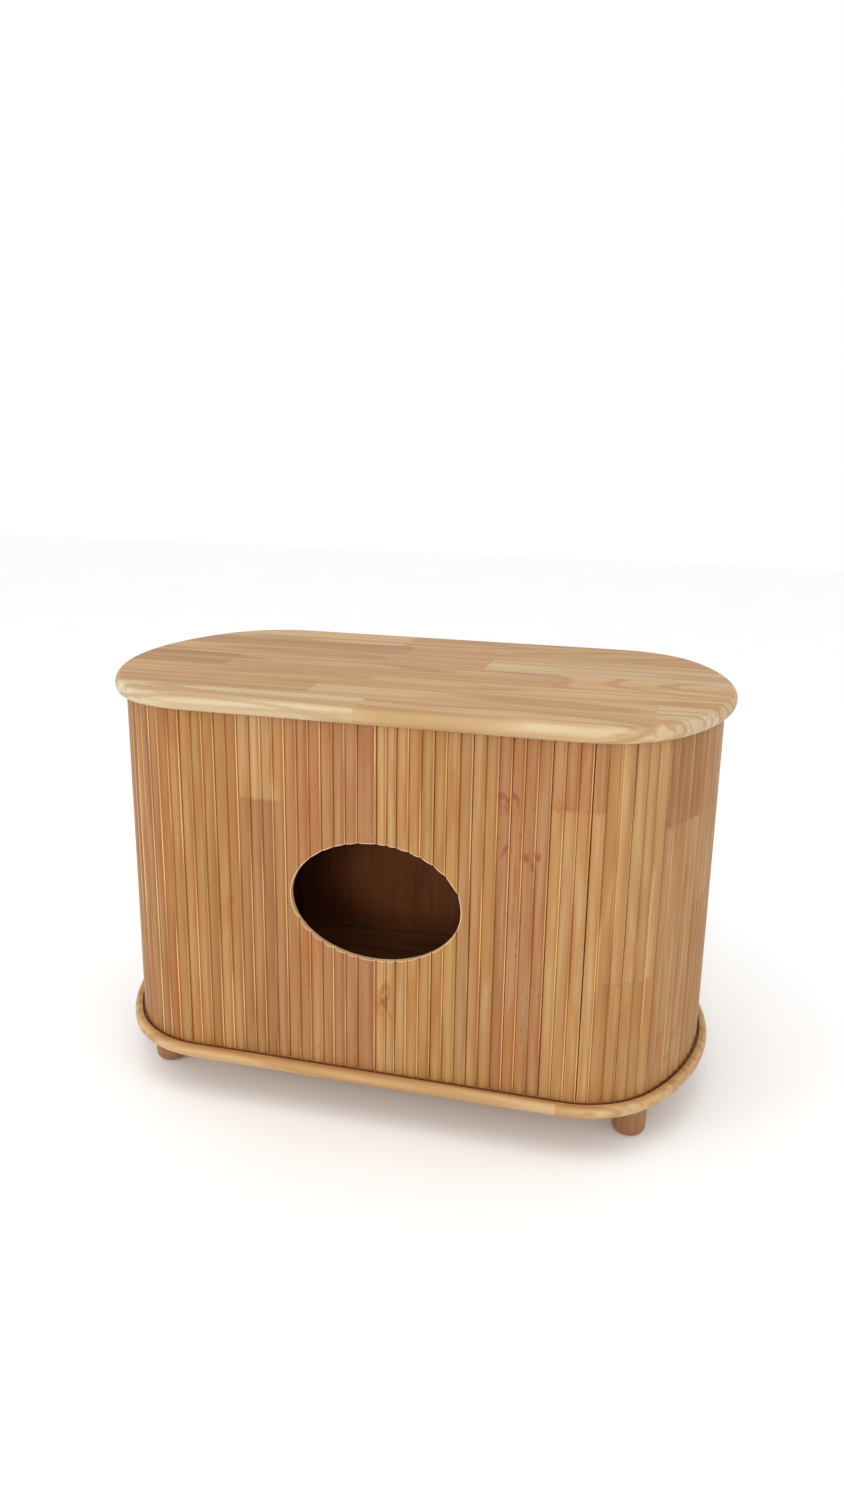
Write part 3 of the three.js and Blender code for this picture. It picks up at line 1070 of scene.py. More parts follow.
@dataclass(frozen=True)
class UprightFinish:
    """Timber with the grain upright: feet, partitions, back board and dowels."""

    name: str
    tone: Colour
    grain: Grain = Grain(vein_scale=15.0, vein_count=7.0, vein_share=0.55, streak_scale=160.0)
    roughness: Pair = (0.38, 0.52)
    coat: float = 0.12
    rear_tone: Colour | None = None
    rear_from: float = 0.0

    def material(self) -> bpy.types.Material:
        """Builds the material.

        Returns:
            The material.
        """
        shader = Shader(self.name)
        tone: Input = self.tone
        # The back board uses this: its inside face takes the darker tone as painted shade, its rear
        # face from rear_from on its own tone.
        if self.rear_tone:
            _, y, _ = shader.split(shader.place)
            behind = shader.math("GREATER_THAN", y, self.rear_from * MM)
            tone = shader.blend(behind, self.tone, self.rear_tone)
        colour, fibre = self.grain.draw(shader, shader.place, 0.4, tone)
        shader.set(Base_Color=colour, Roughness=shader.spread(fibre, 0.3, 0.7, *self.roughness))
        shader.set(Coat_Weight=self.coat, Coat_Roughness=0.3)
        shader.bump(fibre, 0.3, 0.12)
        return shader.material


@dataclass(frozen=True)
class CanvasFinish:
    """Plain-woven cotton canvas that holds the slats together, stained with glue between them."""

    name: str = "door_canvas"
    thread: float = 0.7
    outside_from: float = 0.9
    thread_tones: tuple[Colour, Colour] = (linear(165, 140, 104), linear(206, 186, 150))
    lump_share: float = 0.4
    lump_tone: Colour = linear(150, 118, 80)
    stained_tone: Colour = linear(184, 128, 74)

    def material(self) -> bpy.types.Material:
        """Builds the material.

        Returns:
            The material.
        """
        shader = Shader(self.name)
        place = shader.attribute("unrolled").outputs["Vector"]
        run, out, height = shader.split(place)
        turns = math.pi / (self.thread * MM)
        warp = shader.math("SINE", shader.math("MULTIPLY", run, turns))
        weft = shader.math("SINE", shader.math("MULTIPLY", height, turns))
        weave = shader.math("MULTIPLY", warp, weft)
        lumps = shader.noise(place, (160.0, 160.0, 160.0), 2.0)
        cloth = shader.fade(weave, (-0.6, 0.8), self.thread_tones)
        lumpy = shader.spread(lumps, 0.4, 0.7, 0.0, self.lump_share)
        cloth = shader.blend(lumpy, cloth, self.lump_tone)
        outside = shader.math("GREATER_THAN", out, self.outside_from * MM)
        colour = shader.blend(outside, cloth, self.stained_tone)
        shader.set(Base_Color=colour, Roughness=shader.spread(weave, -1.0, 1.0, 0.95, 0.8))
        shader.set(Sheen_Weight=0.2)
        shader.bump(weave, 0.6, 0.2)
        return shader.material


@dataclass(frozen=True)
class GrooveShadeFinish:
    """Bare wood inside the track grooves and the bolt recesses, painted darker brown as the shade
    that falls there.
    """

    name: str = "groove_painted_shade"
    tones: tuple[Colour, Colour] = (linear(134, 82, 42), linear(112, 66, 34))

    def material(self) -> bpy.types.Material:
        """Builds the material.

        Returns:
            The material.
        """
        shader = Shader(self.name)
        shade_mottle = shader.noise(shader.place, (120.0, 120.0, 400.0), 2.0)
        colour = shader.fade(shade_mottle, (0.35, 0.65), self.tones)
        shader.set(Base_Color=colour, Roughness=shader.spread(shade_mottle, 0.3, 0.7, 0.6, 0.8))
        shader.bump(shade_mottle, 0.2, 0.1)
        return shader.material


@dataclass(frozen=True)
class SteelFinish:
    """Zinc-plated steel with turning marks round the axis of each bolt."""

    name: str = "zinc_steel"
    tones: tuple[Colour, Colour] = (linear(176, 178, 176), linear(206, 206, 202))

    def material(self) -> bpy.types.Material:
        """Builds the material.

        Returns:
            The material.
        """
        shader = Shader(self.name)
        marks = shader.noise(shader.place, (500.0, 500.0, 2500.0), 3.0)
        cloud = shader.noise(shader.place, (90.0, 90.0, 90.0), 2.0)
        colour = shader.fade(cloud, (0.35, 0.65), self.tones)
        shader.set(Base_Color=colour, Roughness=shader.spread(marks, 0.3, 0.7, 0.24, 0.42))
        shader.set(Metallic=1.0)
        shader.bump(marks, 0.2, 0.03)
        return shader.material


@dataclass(frozen=True)
class StudioFloorFinish:
    """Plain pale floor."""

    name: str = "studio_floor"
    tones: tuple[Colour, Colour] = ((0.955, 0.955, 0.95), (0.97, 0.97, 0.965))

    def material(self) -> bpy.types.Material:
        """Builds the material.

        Returns:
            The material.
        """
        shader = Shader(self.name)
        cloud = shader.noise(shader.place, (3.0, 3.0, 3.0), 2.0)
        colour = shader.fade(cloud, (0.3, 0.7), self.tones)
        shader.set(Base_Color=colour, Roughness=0.9)
        return shader.material


def put_on(piece: bpy.types.Object, *materials: bpy.types.Material) -> None:
    """Gives a piece its materials, in the order of their numbers on its faces.

    Args:
        piece: The piece.
        materials: Its materials.
    """
    piece.data.materials.clear()
    for material in materials:
        piece.data.materials.append(material)


# ------------------------------------------------------------------------------- panels


@dataclass
class BullnosedPanel:
    """Top or base: a round-ended panel with a full bullnose and a track groove in one face."""

    node: str
    slot: str
    finish: PlankFinish
    bottom: float
    thickness: float
    nose_depth: float
    groove_above: bool
    recesses: bool = False
    outline: Outline = field(default_factory=Outline)
    nose_flat: float = 1.0
    nose_steps: int = 14
    groove_depth: float = 5.0
    groove_width: float = 5.5
    groove_inset: float = 16.5
    recess_radius: float = 9.3
    recess_depth: float = 5.0
    hole_radius: float = BOLT_HOLE_RADIUS
    drill_steps: int = 40
    drill_overshoot: float = 2.0
    plain_margin: float = 0.6
    groove_margin: float = 1.5
    crease: float = 28.0

    @property
    def top(self) -> float:
        """Height of the panel's upper face."""
        return self.bottom + self.thickness

    @property
    def face_height(self) -> float:
        """Height of the grooved face."""
        return self.top if self.groove_above else self.bottom

    @property
    def groove_floor(self) -> float:
        """Height of the groove's floor."""
        return self.face_height + (-self.groove_depth if self.groove_above else self.groove_depth)

    def nose(self) -> list[Pair]:
        """Draws the rounded edge, from the lower face to the upper one.

        Returns:
            Pairs of inset and height.
        """
        half = (self.thickness - self.nose_flat) / 2
        lower: list[Pair] = []
        for step in range(self.nose_steps + 1):
            angle = math.pi / 2 * step / self.nose_steps
            height = self.bottom + half * (1 - math.cos(angle))
            lower.append((self.nose_depth * (1 - math.sin(angle)), height))
        upper = [(inset, self.bottom + self.top - height) for inset, height in reversed(lower)]
        return lower + upper

    def groove(self) -> list[Pair]:
        """Draws the groove, from its rim inwards.

        Returns:
            Pairs of inset and height.
        """
        face, floor = self.face_height, self.groove_floor
        rim, inner = self.groove_inset - self.groove_width, self.groove_inset
        last = (inner + self.groove_margin, face)
        return [(rim, face), (rim, floor), (inner, floor), (inner, face), last]

    def build(self) -> bpy.types.Object:
        """Lofts the panel, and drills it for the foot bolts where it has them.

        Returns:
            The panel.
        """
        plain_height = self.bottom if self.groove_above else self.top
        plain = (self.nose_depth + self.plain_margin, plain_height)
        if self.groove_above:
            profile = [plain, *self.nose(), *self.groove()]
        else:
            profile = [*reversed(self.groove()), *self.nose(), plain]
        maker = MeshMaker()
        maker.loft(
            [[(x, y, height) for x, y in self.outline.ring(inset)] for inset, height in profile]
        )
        piece = maker.finish(f"{self.node}_bullnosed")
        if self.recesses:
            cut(piece, [self.bolt_cutter(x, y) for x, y in FOOT_PLACES.values()])
        shade_by_angle(piece, self.crease)
        return piece

    def bolt_cutter(self, x: float, y: float) -> bpy.types.Object:
        """Makes the stepped solid that drills for one bolt and its head.

        Args:
            x: Place of the bolt.
            y: Place of the bolt.

        Returns:
            The cutter.
        """
        ledge = self.top - self.recess_depth
        low, high = self.bottom - self.drill_overshoot, self.top + self.drill_overshoot
        profile = [
            (0, low),
            (self.hole_radius, low),
            (self.hole_radius, ledge),
            (self.recess_radius, ledge),
            (self.recess_radius, high),
            (0, high),
        ]
        maker = MeshMaker()
        maker.lathe(profile, self.drill_steps, x, y)
        return maker.finish("bolt_cutter")

    def is_routed(self, face: bpy.types.MeshPolygon) -> bool:
        """Says whether a face lies in the groove, or in a recess, which is as deep.

        Args:
            face: A face of the panel.

        Returns:
            Whether it is a wall or a floor below the grooved face.
        """
        low, high = sorted((self.face_height, self.groove_floor))
        height, level = face.center.z / MM, abs(face.normal.z)
        on_wall = level < 0.1 and low < height < high
        on_floor = level > 0.9 and abs(height - self.groove_floor) < 0.1
        return on_wall or on_floor

    def dress(self, piece: bpy.types.Object) -> None:
        """Gives the panel its finishes and its place in the frame.

        Args:
            piece: What build() returned.
        """
        put_on(piece, self.finish.material(), GrooveShadeFinish().material())
        # Groove and recess faces take the second material, which paints their shade.
        for face in piece.data.polygons:
            face.material_index = int(self.is_routed(face))
        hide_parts(self.node)
        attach(piece, "carcass")


# ------------------------------------------------------------------------------- doors


class Side(Enum):
    """End of the cabinet that a door runs round, as the sign of its X."""

    LEFT = -1
    RIGHT = 1


class FaceKind(Enum):
    """Finish of a face of a door, by its place in the piece's list of materials."""

    SLAT = 0
    CANVAS = 1
    SAWN = 2


@dataclass(frozen=True)
class Board:
    """Neighbouring slats that were milled from one board, end-jointed at a height."""

    slats: int
    above: Tone
    below: Tone | None = None
    joint: float = 900.0
    pores: float = 0.0


@dataclass(frozen=True)
class Slat:
    """One slat: its number from the seam, its run along the track, and its pitch."""

    number: int
    run: float
    pitch: float


@dataclass
class TambourDoor:
    """One leaf of slats on canvas, from the seam round its end of the cabinet to the back."""

    end: Side
    stile_widths: tuple[float, ...]
    group_counts: tuple[int, ...]
    tail_gap: float
    boards: tuple[Board, ...]
    outline: Outline = field(default_factory=Outline)
    hole: EntryHole = field(default_factory=EntryHole)
    seam_x: float = 5.0
    track_inset: float = 23.0
    canvas: float = 1.2
    thickness: float = 8.0
    slat_gap: float = 1.0
    bottom: float = 83.3
    top: float = 582.7
    flute_bottom: float = 2.8
    flank: tuple[Pair, ...] = ((0.1, 2.0), (0.2, 2.6), (0.2, 3.0))
    shoulder: tuple[Pair, ...] = (
        (0.1, 4.6), (0.45, 5.1), (1.1, 5.7), (2.1, 6.35), (3.3, 6.95), (4.7, 7.48), (6.2, 7.86)
    )
    crown_least: float = 0.5
    canvas_tolerance: float = 0.05
    crease: float = 30.0
    repeated_boards: int = 5
    brightness_swing: float = 0.05
    warmth_swing: float = 0.04
    seed_step: float = 0.217
    right_seed: float = 0.53
    layers: tuple[tuple[str, str, str, str], ...] = (
        ("unrolled", "FLOAT_VECTOR", "CORNER", "vector"),
        ("tone_above", "FLOAT_COLOR", "FACE", "color"),
        ("tone_below", "FLOAT_COLOR", "FACE", "color"),
        ("joint_height", "FLOAT", "FACE", "value"),
        ("board_seed", "FLOAT", "FACE", "value"),
        ("pores", "FLOAT", "FACE", "value"),
        ("across", "FLOAT", "CORNER", "value"),
    )

    @property
    def side(self) -> int:
        """Sign of X at the door's end of the cabinet."""
        return self.end.value

    @property
    def start_x(self) -> float:
        """Where the seam lies, as the right-hand track counts it."""
        return self.side * self.seam_x

    def groups(self) -> list[tuple[str, list[Slat]]]:
        """Lists the groups of slats that each move as one, from the seam on.

        Returns:
            The name of each body, and its slats.
        """
        stile_run = sum(self.stile_widths)
        whole = self.outline.track_length(self.start_x, self.track_inset)
        pitch = (whole - self.tail_gap - stile_run) / sum(self.group_counts)
        run, number = 0.0, 0
        found: list[tuple[str, list[Slat]]] = []
        widths = [list(self.stile_widths)] + [[pitch] * count for count in self.group_counts]
        for index, pitches in enumerate(widths):
            slats = []
            for each in pitches:
                slats.append(Slat(number, run, each))
                run, number = run + each, number + 1
            part = "stile" if index == 0 else f"slats_{index:02d}"
            found.append((f"{self.end.name.lower()}_{part}", slats))
        return found

    def place_of(self, slat: Slat) -> Place:
        """Finds the middle of a slat on the track."""
        return self.outline.track(slat.run + slat.pitch / 2, self.start_x, self.track_inset)

    def point(self, place: Place, along: float, out: float) -> Pair:
        """Puts a point of a slat's section into the plan.

        Args:
            place: Middle of the slat.
            along: Distance along the track from there.
            out: Distance outwards from the back of the canvas.

        Returns:
            The plan point, mirrored for the left door.
        """
        cos, sin = math.cos(place.heading), math.sin(place.heading)
        return self.side * (place.x + along * cos + out * sin), place.y + along * sin - out * cos

    def section(self, slats: Sequence[Slat]) -> list[Pair]:
        """Draws the plan of a group of slats on its strip of canvas.

        Inside a group the slats meet at the bottom of their flutes. At its ends they stand clear
        of the next group down to the canvas, with flanks that bulge a little to narrow the gap.

        Args:
            slats: The slats.

        Returns:
            Plan points round the group.
        """
        outer: list[Pair] = []
        inner: list[Pair] = []
        for slat in slats:
            place = self.place_of(slat)
            half = (slat.pitch - self.slat_gap) / 2
            widest = half - self.crown_least
            crown = [(half - inset, out) for inset, out in self.shoulder if inset < widest]
            flank = [(half, self.canvas), *((half + bulge, out) for bulge, out in self.flank)]
            left = crown if slat is not slats[0] else flank + crown
            right = crown if slat is not slats[-1] else flank + crown
            outer += [self.point(place, -along, out) for along, out in left]
            outer.append(self.point(place, 0.0, self.thickness))
            outer += [self.point(place, along, out) for along, out in reversed(right)]
            if slat is not slats[-1]:
                outer.append(self.point(place, slat.pitch / 2, self.flute_bottom))
            inner += [self.point(place, -half, 0.0), self.point(place, half, 0.0)]
        return outer + inner[::-1]

    def build(self) -> list[tuple[bpy.types.Object, str, str]]:
        """Makes every piece of the door.

        Returns:
            Each piece, with the CAD node that it replaces and the body that it rides on.
        """
        made = []
        for body, slats in self.groups():
            section = self.section(slats)
            low_x, high_x = min(x for x, _ in section), max(x for x, _ in section)
            in_front = all(y < 0 for _, y in section)
            for node in [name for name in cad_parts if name.startswith(body)]:
                maker = MeshMaker()
                ring = section if self.side > 0 else section[::-1]
                maker.loft([[(x, y, z) for x, y in ring] for z in (self.bottom, self.top)])
                piece = maker.finish(f"{node}_fluted")
                if in_front and self.hole.touches(low_x, high_x):
                    cut(piece, [self.hole.cutter()])
                    lower, upper = node.endswith("_lower"), node.endswith("_upper")
                    middle = self.hole.middle_height
                    keep_part(piece, middle if upper else None, middle if lower else None)
                self.mark(piece, slats)
                shade_by_angle(piece, self.crease)
                made.append((piece, node, body))
        return made

    def board_of(self, number: int) -> tuple[int, Board]:
        """Finds the board that a slat was milled from.

        Args:
            number: The slat's number from the seam.

        Returns:
            The board's own number, and the board. Past the end of the list, its last few boards
            come round again.
        """
        rest, index = number, 0
        while True:
            listed = index < len(self.boards)
            board = self.boards[index if listed else -1 - index % self.repeated_boards]
            if rest < board.slats:
                return index, board
            rest -= board.slats
            index += 1

    def nudge(self, slat: Slat) -> Colour:
        """Sets one slat off from its neighbours.

        Args:
            slat: The slat.

        Returns:
            Factors on the three parts of its tone.
        """
        bright = 1 + self.brightness_swing * math.sin(slat.number * 2.3 + self.side)
        warm = self.warmth_swing * math.sin(slat.number * 3.9 + 1)
        return bright, bright * (1 - warm), bright * (1 - 2 * warm)

    def mark(self, piece: bpy.types.Object, slats: Sequence[Slat]) -> None:
        """Writes on each face which slat and board it belongs to, and where it lies when unrolled.

        Args:
            piece: The piece.
            slats: The slats of its group.
        """
        mesh = piece.data
        values: dict[str, list[float]] = {name: [] for name, *_ in self.layers}
        materials: list[int] = []
        places = [(slat, self.place_of(slat)) for slat in slats]
        for face in mesh.polygons:
            slat, place = min(places, key=lambda pair: abs(self.local(face.center, pair[1])[0]))
            index, board = self.board_of(slat.number)
            nudge = self.nudge(slat)
            below = board.below or board.above
            for name, tone in (("tone_above", board.above), ("tone_below", below)):
                values[name] += [*(part * by for part, by in zip(tone.value, nudge)), 1.0]
            values["joint_height"].append(board.joint * MM)
            first_seed = self.right_seed if self.end is Side.RIGHT else 0.0
            values["board_seed"].append((index * self.seed_step + first_seed) % 1)
            values["pores"].append(board.pores)
            deepest = 0.0
            for corner in face.vertices:
                at = mesh.vertices[corner].co
                along, out = self.local(at, place)
                run = self.side * (slat.run + slat.pitch / 2 + along) + self.seam_x
                values["unrolled"] += [run * MM, out * MM, at.z]
                values["across"].append(self.side * 2 * along / (slat.pitch - self.slat_gap))
                deepest = max(deepest, out)
            kind = FaceKind.CANVAS if deepest < self.canvas + self.canvas_tolerance else FaceKind.SLAT
            if self.hole.is_sawn(mesh.vertices[v].co for v in face.vertices):
                kind = FaceKind.SAWN
            materials.append(kind.value)
        mesh.polygons.foreach_set("material_index", materials)
        for name, kind, domain, member in self.layers:
            mesh.attributes.new(name, kind, domain).data.foreach_set(member, values[name])

    def local(self, at: Vector, place: Place) -> Pair:
        """Turns a point into a slat's own measures.

        Args:
            at: The point, in metres.
            place: Middle of the slat.

        Returns:
            How far the point lies along the track, and how far out from the back of the canvas.
        """
        dx, dy = self.side * at.x / MM - place.x, at.y / MM - place.y
        cos, sin = math.cos(place.heading), math.sin(place.heading)
        return dx * cos + dy * sin, dx * sin - dy * cos

    def dress(
        self,
        pieces: Iterable[tuple[bpy.types.Object, str, str]],
        materials: Sequence[bpy.types.Material],
    ) -> None:
        """Gives the door its finishes and its place in the frame.

        Args:
            pieces: What build() returned.
            materials: The finishes, in the order of FaceKind.
        """
        for piece, node, body in pieces:
            put_on(piece, *materials)
            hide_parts(node)
            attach(piece, body)


# ------------------------------------------------------------------------------- feet and bolts


@dataclass
class TurnedFeet:
    """Four short turned feet with rounded bottoms, and the bolts that hold them."""

    radius: float = 25.0
    waist_radius: float = 23.5
    rounding: float = 10.0
    height: float = 64.7
    rounding_steps: int = 12
    top_ease: float = 0.6
    top_draft: float = 0.02
    hole_radius: float = BOLT_HOLE_RADIUS
    hole_bottom: float = 26.7
    bolt_radius: float = 4.0
    bolt_bottom: float = 27.0
    head_radius: float = 9.0
    head_bottom: float = 78.3
    head_height: float = 4.0
    socket_radius: float = 3.5
    socket_depth: float = 2.4
    tip_chamfer: Pair = (0.7, 0.6)
    thread_pitch: float = 1.25
    thread_depth: float = 0.55
    plain_shank: float = 8.0
    head_rounding: tuple[Pair, ...] = ((0.0, 1.4), (0.4, 0.7), (1.4, 0.2), (3.0, 0.0))
    foot_steps: int = 72
    bolt_steps: int = 36
    crease: float = 32.0

    @property
    def head_top(self) -> float:
        """Height of the bolts' heads."""
        return self.head_bottom + self.head_height

    def foot_profile(self) -> list[Pair]:
        """Draws the foot from its underside up, and down into its blind hole.

        Returns:
            Pairs of radius and height.
        """
        bottom: list[Pair] = []
        for step in range(self.rounding_steps + 1):
            angle = math.pi / 2 * step / self.rounding_steps
            radius = self.waist_radius - self.rounding * (1 - math.sin(angle))
            bottom.append((radius, self.rounding * (1 - math.cos(angle))))
        return [
            (0.0, 0.0),
            *bottom,
            (self.radius - self.top_draft, self.height - self.top_ease),
            (self.radius - self.top_ease, self.height),
            (self.hole_radius, self.height),
            (self.hole_radius, self.hole_bottom),
            (0.0, self.hole_bottom),
        ]

    def bolt_profile(self) -> list[Pair]:
        """Draws the bolt from its tip up: fine threads, a plain shank and an eased head.

        Returns:
            Pairs of radius and height.
        """
        tip_radius = self.bolt_radius - self.tip_chamfer[0]
        profile: list[Pair] = [(0.0, self.bolt_bottom), (tip_radius, self.bolt_bottom)]
        height, pitch = self.bolt_bottom + self.tip_chamfer[1], self.thread_pitch
        root_radius = self.bolt_radius - self.thread_depth
        while height + pitch < self.head_bottom - self.plain_shank:
            profile += [(self.bolt_radius, height), (root_radius, height + pitch / 2)]
            height += pitch
        return [
            *profile,
            (self.bolt_radius, height),
            (self.bolt_radius, self.head_bottom),
            (self.head_radius, self.head_bottom),
            *((self.head_radius - inset, self.head_top - drop) for inset, drop in self.head_rounding),
            (0.0, self.head_top),
        ]

    def build(self) -> list[tuple[bpy.types.Object, str]]:
        """Turns the feet and the bolts.

        Returns:
            Each piece, with the CAD node that it replaces.
        """
        made = []
        for name, (x, y) in FOOT_PLACES.items():
            maker = MeshMaker()
            maker.lathe(self.foot_profile(), self.foot_steps, x, y)
            made.append((maker.finish(f"foot_{name}_turned"), f"foot_{name}"))
            maker = MeshMaker()
            maker.lathe(self.bolt_profile(), self.bolt_steps, x, y)
            bolt = maker.finish(f"foot_bolt_{name}_threaded")
            cut(bolt, [self.socket_cutter(x, y)])
            made.append((bolt, f"foot_bolt_{name}"))
        for piece, _ in made:
            shade_by_angle(piece, self.crease)
        return made

    def socket_cutter(self, x: float, y: float) -> bpy.types.Object:
        """Makes the six-sided solid that cuts the key socket of one bolt.

        Args:
            x: Place of the bolt.
            y: Place of the bolt.

        Returns:
            The cutter.
        """
        floor, overshoot, sides = self.head_top - self.socket_depth, 1.0, 6
        opening = self.head_top + overshoot
        profile = [
            (0, floor), (self.socket_radius, floor), (self.socket_radius, opening), (0, opening)
        ]
        maker = MeshMaker()
        maker.lathe(profile, sides, x, y)
        return maker.finish("socket_cutter")

    def dress(
        self,
        pieces: Iterable[tuple[bpy.types.Object, str]],
        wood: bpy.types.Material,
        steel: bpy.types.Material,
    ) -> None:
        """Gives the feet and bolts their finishes and their place in the frame.

        Args:
            pieces: What build() returned.
            wood: Finish of the feet.
            steel: Finish of the bolts.
        """
        for piece, node in pieces:
            is_bolt = "bolt" in node
            put_on(piece, steel if is_bolt else wood)
            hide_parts(node)
            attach(piece, "carcass")


# ------------------------------------------------------------------------------- inner parts


@dataclass
class InnerFrame:
    """Partitions, back board and dowels, which keep their CAD shape and get eased edges."""

    # Painted shade: the partitions and the back board's inside face take a darker, redder tone than
    # its outside, for the dim inside of the cabinet.
    partition_wood: UprightFinish = UprightFinish(
        "partition_board_shaded", linear(136, 86, 46), roughness=(0.5, 0.68), coat=0.0
    )
    back_wood: UprightFinish = UprightFinish(
        "back_board_shaded_inside",
        linear(156, 90, 46),
        roughness=(0.5, 0.68),
        coat=0.0,
        rear_tone=linear(176, 128, 76),
        rear_from=218.0,
    )
    dowel_wood: UprightFinish = UprightFinish(
        "dowel_beech", linear(214, 184, 140), roughness=(0.6, 0.75), coat=0.0
    )
    ease: float = 0.5
    ease_segments: int = 2

    def dress(self) -> None:
        """Gives the boards and dowels their finishes, and eases their edges."""
        finishes = {
            "partition": self.partition_wood,
            "back_board": self.back_wood,
            "dowel": self.dowel_wood,
        }
        for word, finish in finishes.items():
            material = finish.material()
            for name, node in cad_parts.items():
                if word not in name:
                    continue
                put_on(node, material)
                bevel = node.modifiers.new("eased_edges", "BEVEL")
                bevel.width, bevel.segments = self.ease * MM, self.ease_segments
                bevel.limit_method = "ANGLE"
                log.info("%s dressed as %s", name, finish.name)


# ------------------------------------------------------------------------------- studio


@dataclass(frozen=True)
class Lamp:
    """One square soft light: where it hangs, what it points at, its side in metres, its watts."""

    name: str
    at: tuple[float, float, float]
    aim: tuple[float, float, float]
    size: float
    watts: float


@dataclass
class Studio:
    """Plain pale floor, soft even light and the camera. Places are in metres, angles in degrees."""

    lamps: tuple[Lamp, ...] = (
        Lamp("overhead", (0.0, -1.2, 3.4), (0.0, -0.2, 0.0), 2.0, 17.0),
        Lamp("front", (0.42, -3.1, 1.3), (0.0, 0.0, 0.3), 0.5, 21.0),
        Lamp("front_left", (-2.6, -2.6, 1.6), (0.0, 0.0, 0.3), 1.0, 20.0),
    )
    camera_at: tuple[float, float, float] = (0.4161, -1.5774, 0.9501)
    azimuth: float = 14.71
    elevation: float = 16.0
    roll: float = 0.82
    lens: float = 27.146
    sensor: float = 36.0
    clip: Pair = (0.05, 60.0)
    floor_size: float = 14.0

    def build(self) -> None:
        """Lays the floor, hangs the lights and sets up the camera."""
        self.lay_floor()
        self.light_world()
        for lamp in self.lamps:
            self.hang(lamp)
        self.place_camera()
        bpy.context.scene.view_settings.view_transform = "Standard"

    def lay_floor(self) -> None:
        """Lays a plain floor that runs past the edges of every view."""
        maker = MeshMaker()
        half = self.floor_size / 2 / MM
        corners = [(-half, -half), (half, -half), (half, half), (-half, half)]
        maker.cap(maker.ring((x, y, 0.0) for x, y in corners))
        floor = maker.finish("studio_floor")
        put_on(floor, StudioFloorFinish().material())

    def light_world(self) -> None:
        """Fills the room with even white light."""
        world = bpy.data.worlds.new("studio_air")
        world.use_nodes = True
        sky = world.node_tree.nodes["Background"]
        sky.inputs["Color"].default_value = (1.0, 1.0, 1.0, 1.0)
        sky.inputs["Strength"].default_value = 1.0
        bpy.context.scene.world = world

    def hang(self, lamp: Lamp) -> None:
        """Hangs one light.

        Args:
            lamp: The light.
        """
        data = bpy.data.lights.new(lamp.name, "AREA")
        data.shape, data.size, data.energy = "SQUARE", lamp.size, lamp.watts
        hung = bpy.data.objects.new(lamp.name, data)
        bpy.context.scene.collection.objects.link(hung)
        hung.location = lamp.at
        beam = Vector(lamp.aim) - Vector(lamp.at)
        hung.rotation_euler = beam.to_track_quat("-Z", "Y").to_euler()

    def place_camera(self) -> None:
        """Sets the camera where the photograph was taken from."""
        az, el, roll = (math.radians(angle) for angle in (self.azimuth, self.elevation, self.roll))
        back = Vector((math.sin(az) * math.cos(el), -math.cos(az) * math.cos(el), math.sin(el)))
        right = Vector((math.cos(az), math.sin(az), 0.0))
        up = back.cross(right)
        data = bpy.data.cameras.new("photo_view")
        data.sensor_width, data.sensor_fit, data.lens = self.sensor, "AUTO", self.lens
        data.clip_start, data.clip_end = self.clip
        camera = bpy.data.objects.new("photo_view", data)
        bpy.context.scene.collection.objects.link(camera)
        turned_x = math.cos(roll) * right + math.sin(roll) * up
        turned_y = -math.sin(roll) * right + math.cos(roll) * up
        camera.matrix_world = Matrix.Translation(self.camera_at) @ (
            Matrix((turned_x, turned_y, back)).transposed().to_4x4()
        )
        bpy.context.scene.camera = camera


# ------------------------------------------------------------------------------- the cabinet


TOP_FINISH = PlankFinish(
    "top_varnish",
    rows=(
        PlankRow(-500, (-22, 480), (Tone.OAT, Tone.WHEAT, Tone.WHEAT)),
        PlankRow(-199, (-112, 350), (Tone.BISCUIT, Tone.WHEAT, Tone.OAT)),
        PlankRow(-126, (-47, 480), (Tone.WHEAT, Tone.WHEAT, Tone.BISCUIT)),
        PlankRow(-62, (-290, 200), (Tone.TOFFEE, Tone.BISCUIT, Tone.WHEAT)),
        PlankRow(20, (-70, 87), (Tone.BISCUIT, Tone.BISCUIT, Tone.OAT)),
        PlankRow(99, (-56, 480), (Tone.TOFFEE, Tone.BISCUIT, Tone.BISCUIT)),
        PlankRow(163, (-75, 480), (Tone.WHEAT, Tone.BISCUIT, Tone.BISCUIT)),
    ),
)
BASE_FINISH = PlankFinish(
    "base_varnish",
    rows=(
        PlankRow(-500, (-140, 260), (Tone.CARAMEL, Tone.CARAMEL, Tone.CARAMEL)),
        PlankRow(-150, (-60, 300), (Tone.NUTMEG, Tone.CARAMEL, Tone.CARAMEL)),
        PlankRow(-75, (-210, 120), (Tone.CARAMEL, Tone.NUTMEG, Tone.CARAMEL)),
        PlankRow(0, (-20, 340), (Tone.CARAMEL, Tone.NUTMEG, Tone.CARAMEL)),
        PlankRow(75, (-160, 180), (Tone.NUTMEG, Tone.CARAMEL, Tone.CARAMEL)),
        PlankRow(150, (40, 480), (Tone.CARAMEL, Tone.NUTMEG, Tone.NUTMEG)),
    ),
)
